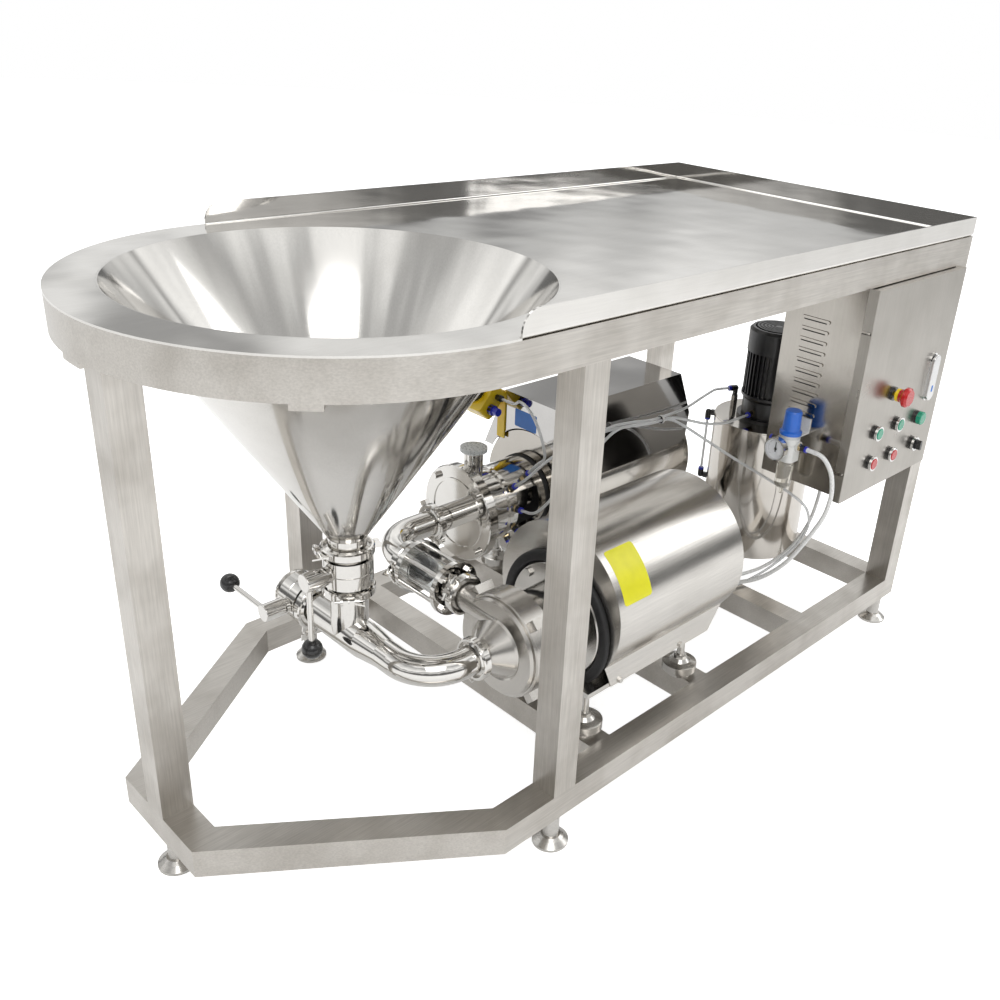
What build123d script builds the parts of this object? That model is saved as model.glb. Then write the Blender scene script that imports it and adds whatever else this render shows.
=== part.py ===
# Emulsifying mixer: a powder hopper and work tray over a feed pump and an inline mixing head.
# Millimetres, +Z up. The floor is z = 0 and the origin lies under the middle of the machine.
# The table's long side runs along X, and the operator stands on the -Y side.
# Places are measured from the hopper's axis: x towards the cabinet, y towards the back.
from build123d import *
import math
import os

os.makedirs("parts", exist_ok=True)

# Gaps between pieces
seat_gap = 0.3          # between bodies that move past each other
shaft_gap = 0.05        # radial, a shaft in its bearing
clamp_gap = 0.15        # a pipe clamp over its two ferrules

# Table and tray
table_length = 1647.0
table_width = 771.4
deck_top = 913.6
tray_sheet = 3.0
tray_fold = 6.0
upstand_height = 35.0
upstand_corner = 30.0
beam_height = 55.0
rim_sheet = 4.0
stay_width = 40.0
stay_thickness = 8.0
stay_angle = 130.0

# Frame of square tube
tube = 50.0
tube_wall = 2.5
rail_bottom = 71.0
nose_inset = 24.2       # the base stands in from the table's round end
nose_half = 108.6
chamfer_x = 13.5
front_leg_x = 143.0
nose_leg_y = 6.0
cross_xs = (282.0, 565.0, 908.0)
tank_rail_y = -35.0

# Levelling feet
foot_disc = 62.0
foot_crown = 16.0
foot_sleeve = 28.0
foot_sleeve_hole = 8.0

# Hopper
mouth_radius = 318.6
cone_slope = 0.677      # radius lost for each millimetre of height
cone_wall = 2.5
mouth_lip = 3.0
powder_joint_z = 462.5

# Pipe sizes, as radii
pipe_wall = 1.6
big_pipe = 31.75
big_ferrule = 38.75
small_pipe = 25.5
small_ferrule = 32.0
nozzle_pipe = 19.05
nozzle_ferrule = 25.25
ferrule_rim = 2.85
ferrule_taper = 3.5
bend_radius = 76.0

# Pipe clamps
clamp_depth = 5.5
clamp_width = 15.0
clamp_slit = 2.0
clamp_bolt = 3.0

# Butterfly valves
valve_radius = 41.5
valve_half = 37.25
valve_body_half = 24.0
valve_bore = 30.15
disc_radius = 29.8
disc_thickness = 4.0
stem_radius = 6.0
boss_radius = 14.0
boss_reach = 46.0
hub_radius = 16.0
hub_reach = 85.5
rod_radius = 5.0
rod_offset = 75.5
lever_length = 127.0
knob_radius = 17.5

# Tee and pipe run to the pump
tee_z = 304.0
liquid_valve_y = 136.0
reducer_start = -45.0
reducer_end = -95.0
inlet_bend_y = -124.0

# Feed pump and its motor
pump_y = -200.0
pump_z = 304.0
inlet_joint_x = 103.0
pump_front_x = 150.0
pump_back_x = 200.0
casing_radius = 88.0
casing_wall = 4.0
cone_end_radius = 52.0
eye_radius = 26.0
impeller_radius = 70.0
impeller_blades = 6
pump_shaft_radius = 12.0
lantern_radius = 70.0
lantern_wall = 8.0
motor_face_x = 288.0
motor_disc_radius = 106.0
motor_disc = 6.0
seal_ring_radius = 127.5
seal_ring_wall = 20.0
cover_front_x = 298.0
cover_rear_x = 649.0
cover_radius = 145.5
cover_centre_z = 340.0
cover_sheet = 2.0
cover_hem_half = 119.0
cover_front_cut = (22.0, 48.0)
cover_rear_cut = (50.0, 74.0)
hem_bolt_xs = (343.0, 514.0)
bolt_shank = 3.0
motor_radius = 80.0
foot_half = 70.0
foot_width = 34.0
base_plate_z = 208.0
base_plate = 10.0
front_plate_x = (262.0, 600.0)
rear_plate_x = (548.0, 930.0)
notch_depth = 38.0
notch_half = 68.0
mount_half = 95.0
front_mounts_x = (282.0, 553.0)
cup_radius = 33.5
cup_foot_radius = 23.0
stud_radius = 6.0

# Sight glass and the pipe to the mixing head
outlet_x = 172.0
outlet_z = 350.0
outlet_joint_y = -92.0
glass_front_y = -70.0
glass_back_y = 38.0
glass_radius = 30.0
glass_wall = 4.0
glass_flange_radius = 50.0
glass_flange = 10.0
tie_rod_radius = 4.0
tie_rod_circle = 40.0
glass_joint_y = 62.0
outlet_bend_y = 78.0

# Mixing head and its motor
head_y = 154.0
head_z = 350.0
head_joint_x = 302.0
head_face_x = 364.0
head_cover = 12.0
head_flange_radius = 100.0
head_ring_radius = 74.0
head_bolt_circle = 88.0
head_drum_radius = 75.0
head_drum_end = 440.0
rotor_radius = 50.0
stator_radius = 56.0
nozzle_x = 405.0
nozzle_top_z = 484.0
head_shaft_radius = 14.0
head_lantern_end = 540.0
window_height = 80.0
hood_front_x = 558.0
hood_rear_x = 953.0
hood_top_z = 548.0
hood_bottom_z = 412.0
hood_top_half = 78.0
hood_bottom_half = 137.0
hood_cut = 40.0
hood_sheet = 2.0
rear_motor_radius = 128.0

# Seal-water tank
tank_x = 1140.0
tank_y = -44.0
tank_radius = 119.0
tank_top_z = 440.0
tank_sheet = 1.5
tank_lid = 3.0
tank_motor_radius = 64.5
tank_block_top_z = 494.0
tank_ribs_top_z = 600.0
tank_cowl_top_z = 655.0
tank_rib_count = 36
fan_radius = 50.0
fan_blades = 6

# Cabinet and door
cabinet_width = 331.3    # from the end leg towards the hopper
cabinet_setback = 8.2    # behind the beams' faces
cabinet_depth = 165.5
cabinet_height = 418.6   # down from the beams
cabinet_sheet = 2.0
door_overlap = 2.5       # past the cabinet's left side
door_short = 28.3        # its right edge short of the table's end
door_drop = 2.1          # its top edge below the beams
door_height = 426.5
door_proud = 14.3
door_sheet = 2.0
door_gap = 1.5
hinge_drops = (83.5, 368.5)  # below the door's top edge
hinge_in_x = 5.5
hinge_in_y = 8.0
hinge_pin = 3.0
hinge_arm = 4.0
hinge_knuckle = 24.0
louvre_count = 10
louvre_pitch = 21.0
louvre_drop = 83.9       # the first louvre below the beams
louvre_length = 62.0
louvre_in = 97.5         # behind the cabinet's front

# Door fittings, measured from the door's outer face
collar_radius = 14.0
collar_proud = 6.0
ring_radius = 15.0
ring_proud = 11.0
cap_radius = 11.5
cap_proud = 12.5
press_travel = 3.5
stop_head_radius = 20.0
stop_proud = 37.0
stop_neck_proud = 21.0
stop_travel = 5.0
lamp_radius = 14.0
lamp_proud = 16.0
lever_plate = 3.0
lever_proud = 11.0

# Filter regulator, hung beside the cabinet
regulator_out = 42.0     # out from the cabinet's left side
regulator_in = 87.5      # behind the cabinet's front
regulator_rise = 84.0    # above the cabinet's floor

# Isolator box behind the mixing head
switch_x = 520.0
switch_y = 262.0
switch_z = 530.0
switch_size = 70.0
switch_depth = 40.0

# Hoses
clear_tube = 6.0
white_hose = 9.0
white_cable = 8.0

# Places that follow from the sizes above
table_radius = table_width / 2
end_x = table_length - table_radius
door_face = table_radius + door_proud
cabinet_front = table_radius - cabinet_setback
cabinet_right = end_x - tube
cabinet_left = cabinet_right - cabinet_width
door_left = cabinet_left - door_overlap
door_right = end_x - door_short
regulator_x = cabinet_left - regulator_out
regulator_y = regulator_in - cabinet_front
foot_overhang = (foot_disc - tube) / 2
hopper_x = (table_radius - end_x - foot_overhang) / 2
table_y = (door_face + stop_proud - table_radius - foot_overhang) / 2
deck_under = deck_top - tray_sheet
beam_bottom = deck_under - beam_height
cabinet_bottom_z = beam_bottom - cabinet_height
door_top_z = beam_bottom - door_drop
door_bottom_z = door_top_z - door_height
hinge_zs = [door_top_z - drop for drop in hinge_drops]
louvre_top_z = beam_bottom - louvre_drop
regulator_z = cabinet_bottom_z + regulator_rise
rail_top = rail_bottom + tube
nose_x = nose_inset - table_radius
powder_valve_z = powder_joint_z - valve_half
tee_top_z = powder_valve_z - valve_half
RIGHT = (1, 0, 0)
LEFT = (-1, 0, 0)
FRONT = (0, -1, 0)
BACK = (0, 1, 0)
UP = (0, 0, 1)
DOWN = (0, 0, -1)


def at(x, y, z):
    """A place measured from the hopper's axis and the floor."""
    return (hopper_x + x, table_y + y, z)


def level(x, y, z):
    """A horizontal plane that faces up."""
    return Plane(origin=at(x, y, z))


def facing_front(x, y, z):
    """An upright plane that faces the operator; its own x is X and its own y is Z."""
    return Plane(origin=at(x, y, z), x_dir=RIGHT, z_dir=FRONT)


def facing_right(x, y, z):
    """An upright plane that faces the cabinet end; its own x is Y and its own y is Z."""
    return Plane(origin=at(x, y, z), x_dir=BACK, z_dir=RIGHT)


def along(origin, direction):
    """A plane that holds a turned piece's axis as its own x, for outlines of (length, radius)."""
    side = FRONT if direction in (RIGHT, LEFT, UP, DOWN) else RIGHT
    return Plane(origin=origin, x_dir=direction, z_dir=side)


def square_tube(low, high):
    """A straight square tube between two corners, open at both ends of its longest side."""
    size = [b - a for a, b in zip(low, high)]
    longest = size.index(max(size))
    bore = [s - 2 * tube_wall for s in size]
    bore[longest] = size[longest]
    with BuildPart() as piece:
        with Locations(at(*[(a + b) / 2 for a, b in zip(low, high)])):
            Box(*size)
            Box(*bore, mode=Mode.SUBTRACT)
    return piece.part


def ferrule_outline(start, pipe, rim, towards):
    """Outline of a clamp ferrule whose flat face is at start, as (length, radius) points."""
    return [
        (start, 0),
        (start, rim),
        (start + towards * ferrule_rim, rim),
        (start + towards * (ferrule_rim + ferrule_taper), pipe),
        (start + towards * (ferrule_rim + ferrule_taper), 0),
    ]


# Tray: one folded pan with the round end welded on and the hopper's hole
with BuildPart() as pan_hollow:
    with Locations(at(-tray_sheet, 0, deck_top)):
        Box(end_x, table_width - 2 * tray_sheet, upstand_height + tray_sheet, align=(Align.MIN, Align.CENTER, Align.MIN))
    floor_edges = pan_hollow.edges().group_by(Axis.Z)[0]
    fillet(floor_edges.filter_by(Axis.X) + floor_edges.filter_by(Axis.Y).sort_by(Axis.X)[-1:], tray_fold - tray_sheet)

with BuildPart() as table_tray:
    with Locations(at(0, 0, deck_under)):
        Box(end_x, table_width, tray_sheet + upstand_height, align=(Align.MIN, Align.CENTER, Align.MIN))
    fold_edges = table_tray.edges().group_by(Axis.Z)[0]
    fillet(fold_edges.filter_by(Axis.X) + fold_edges.filter_by(Axis.Y).sort_by(Axis.X)[-1:], tray_fold)
    add(pan_hollow.part, mode=Mode.SUBTRACT)
    top_ends = table_tray.edges().filter_by(Axis.Y).group_by(Axis.Z)[-1].group_by(Axis.X)[0]
    fillet(top_ends, upstand_corner)
    with BuildSketch(level(0, 0, deck_under)):
        Circle(table_radius)
        Rectangle(table_width, table_width, align=(Align.MIN, Align.CENTER), mode=Mode.SUBTRACT)
    extrude(amount=tray_sheet)
    with BuildSketch(level(0, 0, deck_under)):
        Circle(mouth_radius + cone_wall)
    extrude(amount=tray_sheet, mode=Mode.SUBTRACT)
table_tray.part.label = "table_tray"
export_step(table_tray.part, "parts/table_tray.step")

# Rim: the rolled round end, three box beams and the stays between rim and cone
front_beam = square_tube((0, -table_radius, beam_bottom), (end_x, tube - table_radius, deck_under))
back_beam = square_tube((0, table_radius - tube, beam_bottom), (end_x, table_radius, deck_under))
end_beam = square_tube(
    (end_x - tube, tube - table_radius, beam_bottom),
    (end_x, table_radius - tube, deck_under),
)
with BuildPart() as round_rim:
    with BuildSketch(level(0, 0, beam_bottom)):
        Circle(table_radius)
        Circle(table_radius - rim_sheet, mode=Mode.SUBTRACT)
        Rectangle(table_width, table_width, align=(Align.MIN, Align.CENTER), mode=Mode.SUBTRACT)
    extrude(amount=beam_height)


def cone_radius(z):
    """Inner radius of the hopper's cone at a height."""
    return mouth_radius - cone_slope * (deck_top - z)


stay_root = cone_radius(beam_bottom) + cone_wall * math.hypot(1, cone_slope) + seat_gap


def cone_stay(angle):
    """A flat bar under the rim that props the cone."""
    with BuildPart() as piece:
        with BuildSketch(Plane(origin=at(0, 0, beam_bottom - stay_thickness)).rotated((0, 0, angle))):
            with Locations((stay_root - stay_thickness, 0)):
                Rectangle(table_radius, stay_width, align=(Align.MIN, Align.CENTER))
            Circle(table_radius, mode=Mode.INTERSECT)
            Circle(stay_root, mode=Mode.SUBTRACT)
        extrude(amount=stay_thickness)
    return piece.part


stays = [cone_stay(angle) for angle in (-stay_angle, stay_angle)]
with BuildPart() as nose_head_plate:
    with BuildSketch(level(nose_x, nose_leg_y, beam_bottom - stay_thickness)):
        with Locations((tube, 0)):
            Rectangle(tube + nose_inset, tube, align=(Align.MAX, Align.CENTER))
        with Locations((-nose_x, -nose_leg_y)):
            Circle(table_radius, mode=Mode.INTERSECT)
    extrude(amount=stay_thickness)
table_rim = Compound(
    label="table_rim",
    children=[front_beam, back_beam, end_beam, round_rim.part, *stays, nose_head_plate.part],
)
export_step(table_rim, "parts/table_rim.step")

# Legs
leg_feet = [
    (nose_x + tube / 2, nose_leg_y, beam_bottom - stay_thickness),
    (front_leg_x, tube / 2 - table_radius, beam_bottom),
    (end_x - tube / 2, tube / 2 - table_radius, beam_bottom),
    (front_leg_x, table_radius - tube / 2, beam_bottom),
    (end_x - tube / 2, table_radius - tube / 2, beam_bottom),
]
legs = Compound(
    label="legs",
    children=[
        square_tube((x - tube / 2, y - tube / 2, rail_top), (x + tube / 2, y + tube / 2, top))
        for x, y, top in leg_feet
    ],
)
export_step(legs, "parts/legs.step")

# Base: six mitred rails round the outline, three cross rails and the rail under the tank
outline = [
    Vector(end_x, -table_radius),
    Vector(end_x, table_radius),
    Vector(chamfer_x, table_radius),
    Vector(nose_x, nose_half),
    Vector(nose_x, -nose_half),
    Vector(chamfer_x, -table_radius),
]


def inset_corner(index, depth):
    """The outline's corner moved inwards by a depth square to both of its sides."""
    corner = outline[index % len(outline)]
    before = (corner - outline[(index - 1) % len(outline)]).normalized()
    after = (outline[(index + 1) % len(outline)] - corner).normalized()
    first = Vector(-before.Y, before.X)
    second = Vector(-after.Y, after.X)
    return corner + (first + second) * (depth / (1 + first.dot(second)))


def mitred_rail(index, near, far, bottom, height):
    """A bar along one side of the outline, between two depths, with mitred ends."""
    corners = [
        inset_corner(index, near),
        inset_corner(index + 1, near),
        inset_corner(index + 1, far),
        inset_corner(index, far),
    ]
    with BuildPart() as piece:
        with BuildSketch(level(0, 0, bottom)):
            Polygon(*[(c.X, c.Y) for c in corners], align=None)
        extrude(amount=height)
    return piece.part


rails = []
for side in range(len(outline)):
    bar = mitred_rail(side, 0, tube, rail_bottom, tube)
    bore = mitred_rail(side, tube_wall, tube - tube_wall, rail_bottom + tube_wall, tube - 2 * tube_wall)
    rails.append(bar - bore)
inner_half = table_radius - tube
for x in cross_xs:
    rails.append(
        square_tube((x - tube / 2, -inner_half, rail_bottom), (x + tube / 2, inner_half, rail_top))
    )
rails.append(
    square_tube(
        (cross_xs[2] + tube / 2, tank_rail_y - tube / 2, rail_bottom),
        (end_x - tube, tank_rail_y + tube / 2, rail_top),
    )
)
base_rails = Compound(label="base_rails", children=rails)
export_step(base_rails, "parts/base_rails.step")

# Levelling feet: a domed disc, and a sleeve with a tommy-bar hole up to the rail
foot_places = [(x, y) for x, y, top in leg_feet]
with BuildPart() as levelling_feet:
    for x, y in foot_places:
        foot_line = along(at(x, y, 0), UP)
        with BuildSketch(foot_line):
            Polygon(
                (0, 0),
                (0, foot_disc / 2),
                (foot_crown * 0.3, foot_disc / 2),
                (foot_crown * 0.75, foot_disc * 0.36),
                (foot_crown, foot_sleeve * 0.6),
                (foot_crown, foot_sleeve / 2),
                (rail_bottom, foot_sleeve / 2),
                (rail_bottom, 0),
                align=None,
            )
        revolve(axis=Axis(foot_line.origin, UP))
        with BuildSketch(facing_front(x, y - foot_sleeve, rail_bottom - foot_sleeve_hole * 1.5)):
            Circle(foot_sleeve_hole / 2)
        extrude(amount=-2 * foot_sleeve, mode=Mode.SUBTRACT)
levelling_feet.part.label = "levelling_feet"
export_step(levelling_feet.part, "parts/levelling_feet.step")

# Hopper: cone, short neck and ferrule, turned about the hopper's axis
neck_z = deck_top - (mouth_radius - big_pipe + pipe_wall) / cone_slope
hopper_line = along(at(0, 0, 0), UP)
with BuildPart() as hopper:
    with BuildSketch(hopper_line):
        Polygon(
            (deck_top, mouth_radius),
            (deck_top, mouth_radius + cone_wall),
            (deck_under, mouth_radius + cone_wall),
            (deck_under - cone_wall, mouth_radius),
            (neck_z - cone_wall, big_pipe),
            (powder_joint_z + ferrule_rim + ferrule_taper, big_pipe),
            (powder_joint_z + ferrule_rim, big_ferrule),
            (powder_joint_z, big_ferrule),
            (powder_joint_z, big_pipe - pipe_wall),
            (neck_z, big_pipe - pipe_wall),
            align=None,
        )
    revolve(axis=Axis(hopper_line.origin, UP))
hopper.part.label = "hopper"
export_step(hopper.part, "parts/hopper.step")


# Pipe clamps: two hinged halves round a pair of ferrules, with a swing bolt and a wing nut
def pipe_clamp(joint, rim, turn):
    """A clamp on the joint's plane; turn places its bolt round the pipe."""
    outer = rim + clamp_depth
    inner = rim + clamp_gap
    ear = 9.0
    with BuildPart() as ring:
        with BuildSketch(Plane.XZ):
            Polygon(
                (inner, -ferrule_rim),
                (inner, ferrule_rim),
                (rim - 3.5, clamp_width / 2),
                (outer - 2, clamp_width / 2),
                (outer, clamp_width / 2 - 2),
                (outer, 2 - clamp_width / 2),
                (outer - 2, -clamp_width / 2),
                (rim - 3.5, -clamp_width / 2),
                align=None,
            )
        revolve(axis=Axis.Z)
        with Locations((outer, 0, 0), (-outer, 0, 0)):
            Box(2 * ear, 2 * ear, clamp_width * 0.6)
        Cylinder(inner, clamp_width, mode=Mode.SUBTRACT)
        with Locations((outer, 0, 0)):
            Box(3 * ear, clamp_slit, clamp_width, mode=Mode.SUBTRACT)
        with Locations((-outer, 0, 0)):
            Box(3 * ear, clamp_slit / 4, clamp_width, mode=Mode.SUBTRACT)
        with Locations((outer + ear / 2, 0, 0)):
            Cylinder(clamp_bolt, 4 * ear, rotation=(90, 0, 0), mode=Mode.SUBTRACT)
    with BuildPart() as bolt:
        with Locations((outer + ear / 2, 0, 0)):
            Cylinder(clamp_bolt, 5 * ear, rotation=(90, 0, 0))
        with Locations((outer + ear / 2, -ear - 2.5, 0)):
            Cylinder(clamp_bolt * 2, 4, rotation=(90, 0, 0))
        Cylinder(outer + seat_gap, clamp_width, mode=Mode.SUBTRACT)
    with BuildPart() as wing_nut:
        with BuildSketch(Plane.XZ.offset(-ear - 0.2)):
            with Locations((outer + ear / 2, 0)):
                Circle(6)
        extrude(amount=-8)
        with BuildSketch(Plane.XY):
            with Locations((outer + ear / 2, ear + 9)):
                Trapezoid(30, 15, 65, rotation=180)
        extrude(amount=1.5, both=True)
        with Locations((outer + ear / 2, ear + 9, 0)):
            Cylinder(clamp_bolt, 20, rotation=(90, 0, 0), mode=Mode.SUBTRACT)
        Cylinder(outer + seat_gap, clamp_width, mode=Mode.SUBTRACT)
    place = joint.location * Location((0, 0, 0), (0, 0, turn))
    return [piece.part.moved(place) for piece in (ring, bolt, wing_nut)]


glass_joint = Plane(origin=at(outlet_x, glass_joint_y, outlet_z), x_dir=RIGHT, z_dir=BACK)
outlet_joint = Plane(origin=at(outlet_x, outlet_joint_y, outlet_z), x_dir=RIGHT, z_dir=BACK)
head_joint = Plane(origin=at(head_joint_x, head_y, head_z), x_dir=BACK, z_dir=RIGHT)
pump_joint = Plane(origin=at(inlet_joint_x, pump_y, pump_z), x_dir=BACK, z_dir=RIGHT)
liquid_joint = Plane(origin=at(0, liquid_valve_y - valve_half, tee_z), x_dir=RIGHT, z_dir=BACK)
clamp_list = [
    (level(0, 0, powder_joint_z), big_ferrule, 160),
    (level(0, 0, tee_top_z), big_ferrule, -125),
    (liquid_joint, big_ferrule, 100),
    (pump_joint, small_ferrule, -60),
    (outlet_joint, small_ferrule, 215),
    (glass_joint, small_ferrule, 150),
    (head_joint, small_ferrule, 235),
]
neck_clamp, *clamp_pieces = pipe_clamp(*clamp_list[0])
for joint, rim, turn in clamp_list[1:]:
    clamp_pieces.extend(pipe_clamp(joint, rim, turn))
neck_clamp.label = "neck_clamp"
export_step(neck_clamp, "parts/neck_clamp.step")


# Butterfly valves: the pipe is the valve's own z, and its stem comes out along its own x
def valve_body(place):
    """A two-part valve body with ferrule ends and the stem's boss."""
    with BuildPart() as body:
        with BuildSketch(Plane.XZ):
            Polygon(
                (valve_bore, -valve_half),
                (big_ferrule, -valve_half),
                (big_ferrule, ferrule_rim - valve_half),
                (big_pipe + 1, ferrule_rim + ferrule_taper - valve_half),
                (big_pipe + 1, -valve_body_half),
                (valve_radius, -valve_body_half),
                (valve_radius, -1),
                (valve_radius - 1, 0),
                (valve_radius, 1),
                (valve_radius, valve_body_half),
                (big_pipe + 1, valve_body_half),
                (big_pipe + 1, valve_half - ferrule_rim - ferrule_taper),
                (big_ferrule, valve_half - ferrule_rim),
                (big_ferrule, valve_half),
                (valve_bore, valve_half),
                align=None,
            )
        revolve(axis=Axis.Z)
        with BuildSketch(Plane.YZ.offset(valve_bore + 4)):
            Circle(boss_radius)
        extrude(amount=boss_reach - valve_bore - 4)
        with BuildSketch(Plane.YZ.offset(-valve_bore - 6)):
            Circle(stem_radius + shaft_gap)
        extrude(amount=valve_bore + 6 + boss_reach, mode=Mode.SUBTRACT)
    return body.part.moved(place.location)


def valve_lever(place):
    """Disc, stem, handle hub and rod, turning as one; the rod lies along the pipe when open."""
    with BuildPart() as lever:
        with BuildSketch(Plane.XZ):
            Circle(disc_radius)
        extrude(amount=disc_thickness / 2, both=True)
        with BuildSketch(Plane.YZ.offset(-valve_bore - 5)):
            Circle(stem_radius)
        extrude(amount=valve_bore + 5 + hub_reach - 10)
        with BuildSketch(Plane.YZ.offset(boss_reach + seat_gap)):
            Circle(hub_radius)
        extrude(amount=hub_reach - boss_reach - seat_gap)
        fillet(lever.faces().sort_by(Axis.X)[-1].edges(), 1.5)
        with BuildSketch(Plane.XY):
            with Locations((rod_offset, 0)):
                Circle(rod_radius)
        extrude(amount=lever_length - knob_radius + 4)
    return lever.part.moved(place.location)


def valve_knob(place):
    """The ball knob, bored for the rod's end."""
    with BuildPart() as knob:
        with Locations((rod_offset, 0, lever_length)):
            Sphere(knob_radius)
        with Locations((rod_offset, 0, lever_length - knob_radius + 4)):
            Cylinder(rod_radius, knob_radius, align=(Align.CENTER, Align.CENTER, Align.MAX), mode=Mode.SUBTRACT)
    return knob.part.moved(place.location)


powder_place = Plane(origin=at(0, 0, powder_valve_z), x_dir=LEFT, z_dir=DOWN)
liquid_place = Plane(origin=at(0, liquid_valve_y, tee_z), x_dir=LEFT, z_dir=BACK)
for name, place in (("powder", powder_place), ("liquid", liquid_place)):
    for piece_name, make in (("body", valve_body), ("lever", valve_lever), ("knob", valve_knob)):
        piece = make(place)
        piece.label = f"{name}_valve_{piece_name}"
        export_step(piece, f"parts/{piece.label}.step")

# Mixing tee: powder falls in from above, liquid comes along +Y, and a reducer and bend lead off
# It is built about the hopper's axis and then moved to its place
tee_run = along((0, 0, tee_z), BACK)
riser_run = along((0, 0, 0), UP)
inlet_run = along((0, pump_y, pump_z), RIGHT)
with BuildPart() as tee_pipes:
    for wall, mode in ((0, Mode.ADD), (pipe_wall, Mode.SUBTRACT)):
        wide = big_pipe - wall
        narrow = small_pipe - wall
        with BuildSketch(tee_run):
            Polygon(
                (inlet_bend_y, 0),
                (inlet_bend_y, narrow),
                (reducer_end, narrow),
                (reducer_start, wide),
                (liquid_valve_y - valve_half, wide),
                (liquid_valve_y - valve_half, 0),
                align=None,
            )
        revolve(axis=Axis(tee_run.origin, BACK), mode=mode)
        with BuildSketch(Plane(origin=(0, 0, tee_z))):
            Circle(wide)
        extrude(amount=tee_top_z - tee_z, mode=mode)
        with BuildLine() as bend:
            TangentArc(
                (0, inlet_bend_y, tee_z),
                (bend_radius, inlet_bend_y - bend_radius, tee_z),
                tangent=FRONT,
            )
        with BuildSketch(Plane(origin=bend.line @ 0, z_dir=bend.line % 0)):
            Circle(narrow)
        sweep(mode=mode)
        with BuildSketch(Plane(origin=(bend_radius, pump_y, pump_z), z_dir=RIGHT)):
            Circle(narrow)
        extrude(amount=inlet_joint_x - bend_radius, mode=mode)
        if mode == Mode.ADD:
            with BuildSketch(tee_run):
                Polygon(*ferrule_outline(liquid_valve_y - valve_half, big_pipe, big_ferrule, -1), align=None)
            revolve(axis=Axis(tee_run.origin, BACK))
            with BuildSketch(riser_run):
                Polygon(*ferrule_outline(tee_top_z, big_pipe, big_ferrule, -1), align=None)
            revolve(axis=Axis(riser_run.origin, UP))
            with BuildSketch(inlet_run):
                Polygon(*ferrule_outline(inlet_joint_x, small_pipe, small_ferrule, -1), align=None)
            revolve(axis=Axis(inlet_run.origin, RIGHT))
mixing_tee = tee_pipes.part.moved(Location(at(0, 0, 0)))
mixing_tee.label = "mixing_tee"
export_step(mixing_tee, "parts/mixing_tee.step")

# Feed pump casing: inlet cone, pressed front, drum and the outlet that leaves it at the top
pump_line = along(at(0, pump_y, pump_z), RIGHT)
pump_axis = Axis(pump_line.origin, RIGHT)
outlet_line = along(at(outlet_x, 0, outlet_z), BACK)
outlet_axis = Axis(outlet_line.origin, BACK)
cone_start_x = inlet_joint_x + ferrule_rim + ferrule_taper
with BuildPart() as pump_casing:
    with BuildSketch(pump_line):
        Polygon(
            (inlet_joint_x, 0),
            (inlet_joint_x, small_ferrule),
            (inlet_joint_x + ferrule_rim, small_ferrule),
            (cone_start_x, small_pipe),
            (pump_front_x - 32, eye_radius),
            (pump_front_x - 2, cone_end_radius),
            (pump_front_x + 1, cone_end_radius + 3.5),
            (pump_front_x - 1, cone_end_radius + 7),
            (pump_front_x, casing_radius - 4),
            (pump_front_x + 4, casing_radius),
            (pump_back_x, casing_radius),
            (pump_back_x, 0),
            align=None,
        )
    revolve(axis=pump_axis)
    with BuildSketch(outlet_line):
        Polygon(
            (pump_y, 0),
            (pump_y, small_pipe),
            (outlet_joint_y - ferrule_rim - ferrule_taper, small_pipe),
            (outlet_joint_y - ferrule_rim, small_ferrule),
            (outlet_joint_y, small_ferrule),
            (outlet_joint_y, 0),
            align=None,
        )
    revolve(axis=outlet_axis)
    with BuildSketch(pump_line):
        Polygon(
            (inlet_joint_x, 0),
            (inlet_joint_x, small_pipe - pipe_wall),
            (pump_front_x - 30, eye_radius - casing_wall / 2),
            (pump_front_x + 2, cone_end_radius - casing_wall),
            (pump_front_x + casing_wall, cone_end_radius),
            (pump_front_x + casing_wall, casing_radius - casing_wall),
            (pump_back_x, casing_radius - casing_wall),
            (pump_back_x, 0),
            align=None,
        )
    revolve(axis=pump_axis, mode=Mode.SUBTRACT)
    with BuildSketch(Plane(origin=at(outlet_x, pump_y, outlet_z), z_dir=BACK)):
        Circle(small_pipe - pipe_wall)
    extrude(amount=outlet_joint_y - pump_y, mode=Mode.SUBTRACT)
pump_casing.part.label = "pump_casing"
export_step(pump_casing.part, "parts/pump_casing.step")

# Casing band with three bolted lugs
band_front_x = pump_front_x + 7
band_back_x = pump_back_x + 6
band_radius = casing_radius + 5
lug_angles = (45, 135, 225, 315)
lug_step = 6
with BuildPart() as pump_band:
    with BuildSketch(pump_line):
        Polygon(
            (band_front_x, casing_radius),
            (band_front_x, band_radius - 2),
            (band_front_x + 2, band_radius),
            (band_back_x - 2, band_radius),
            (band_back_x, band_radius - 2),
            (band_back_x, casing_radius),
            align=None,
        )
    revolve(axis=pump_axis)
    with BuildSketch(facing_right(band_front_x + lug_step, pump_y, pump_z)):
        for angle in lug_angles:
            with PolarLocations(band_radius + 5, 1, angle):
                Rectangle(20, 18)
        Circle(casing_radius, mode=Mode.SUBTRACT)
    extrude(amount=band_back_x - band_front_x - 2 * lug_step)
    with BuildSketch(Plane(origin=at(outlet_x, pump_y, outlet_z), z_dir=BACK)):
        Circle(small_pipe + seat_gap)
    extrude(amount=2 * casing_radius, mode=Mode.SUBTRACT)
pump_band.part.label = "pump_band"
export_step(pump_band.part, "parts/pump_band.step")

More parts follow.
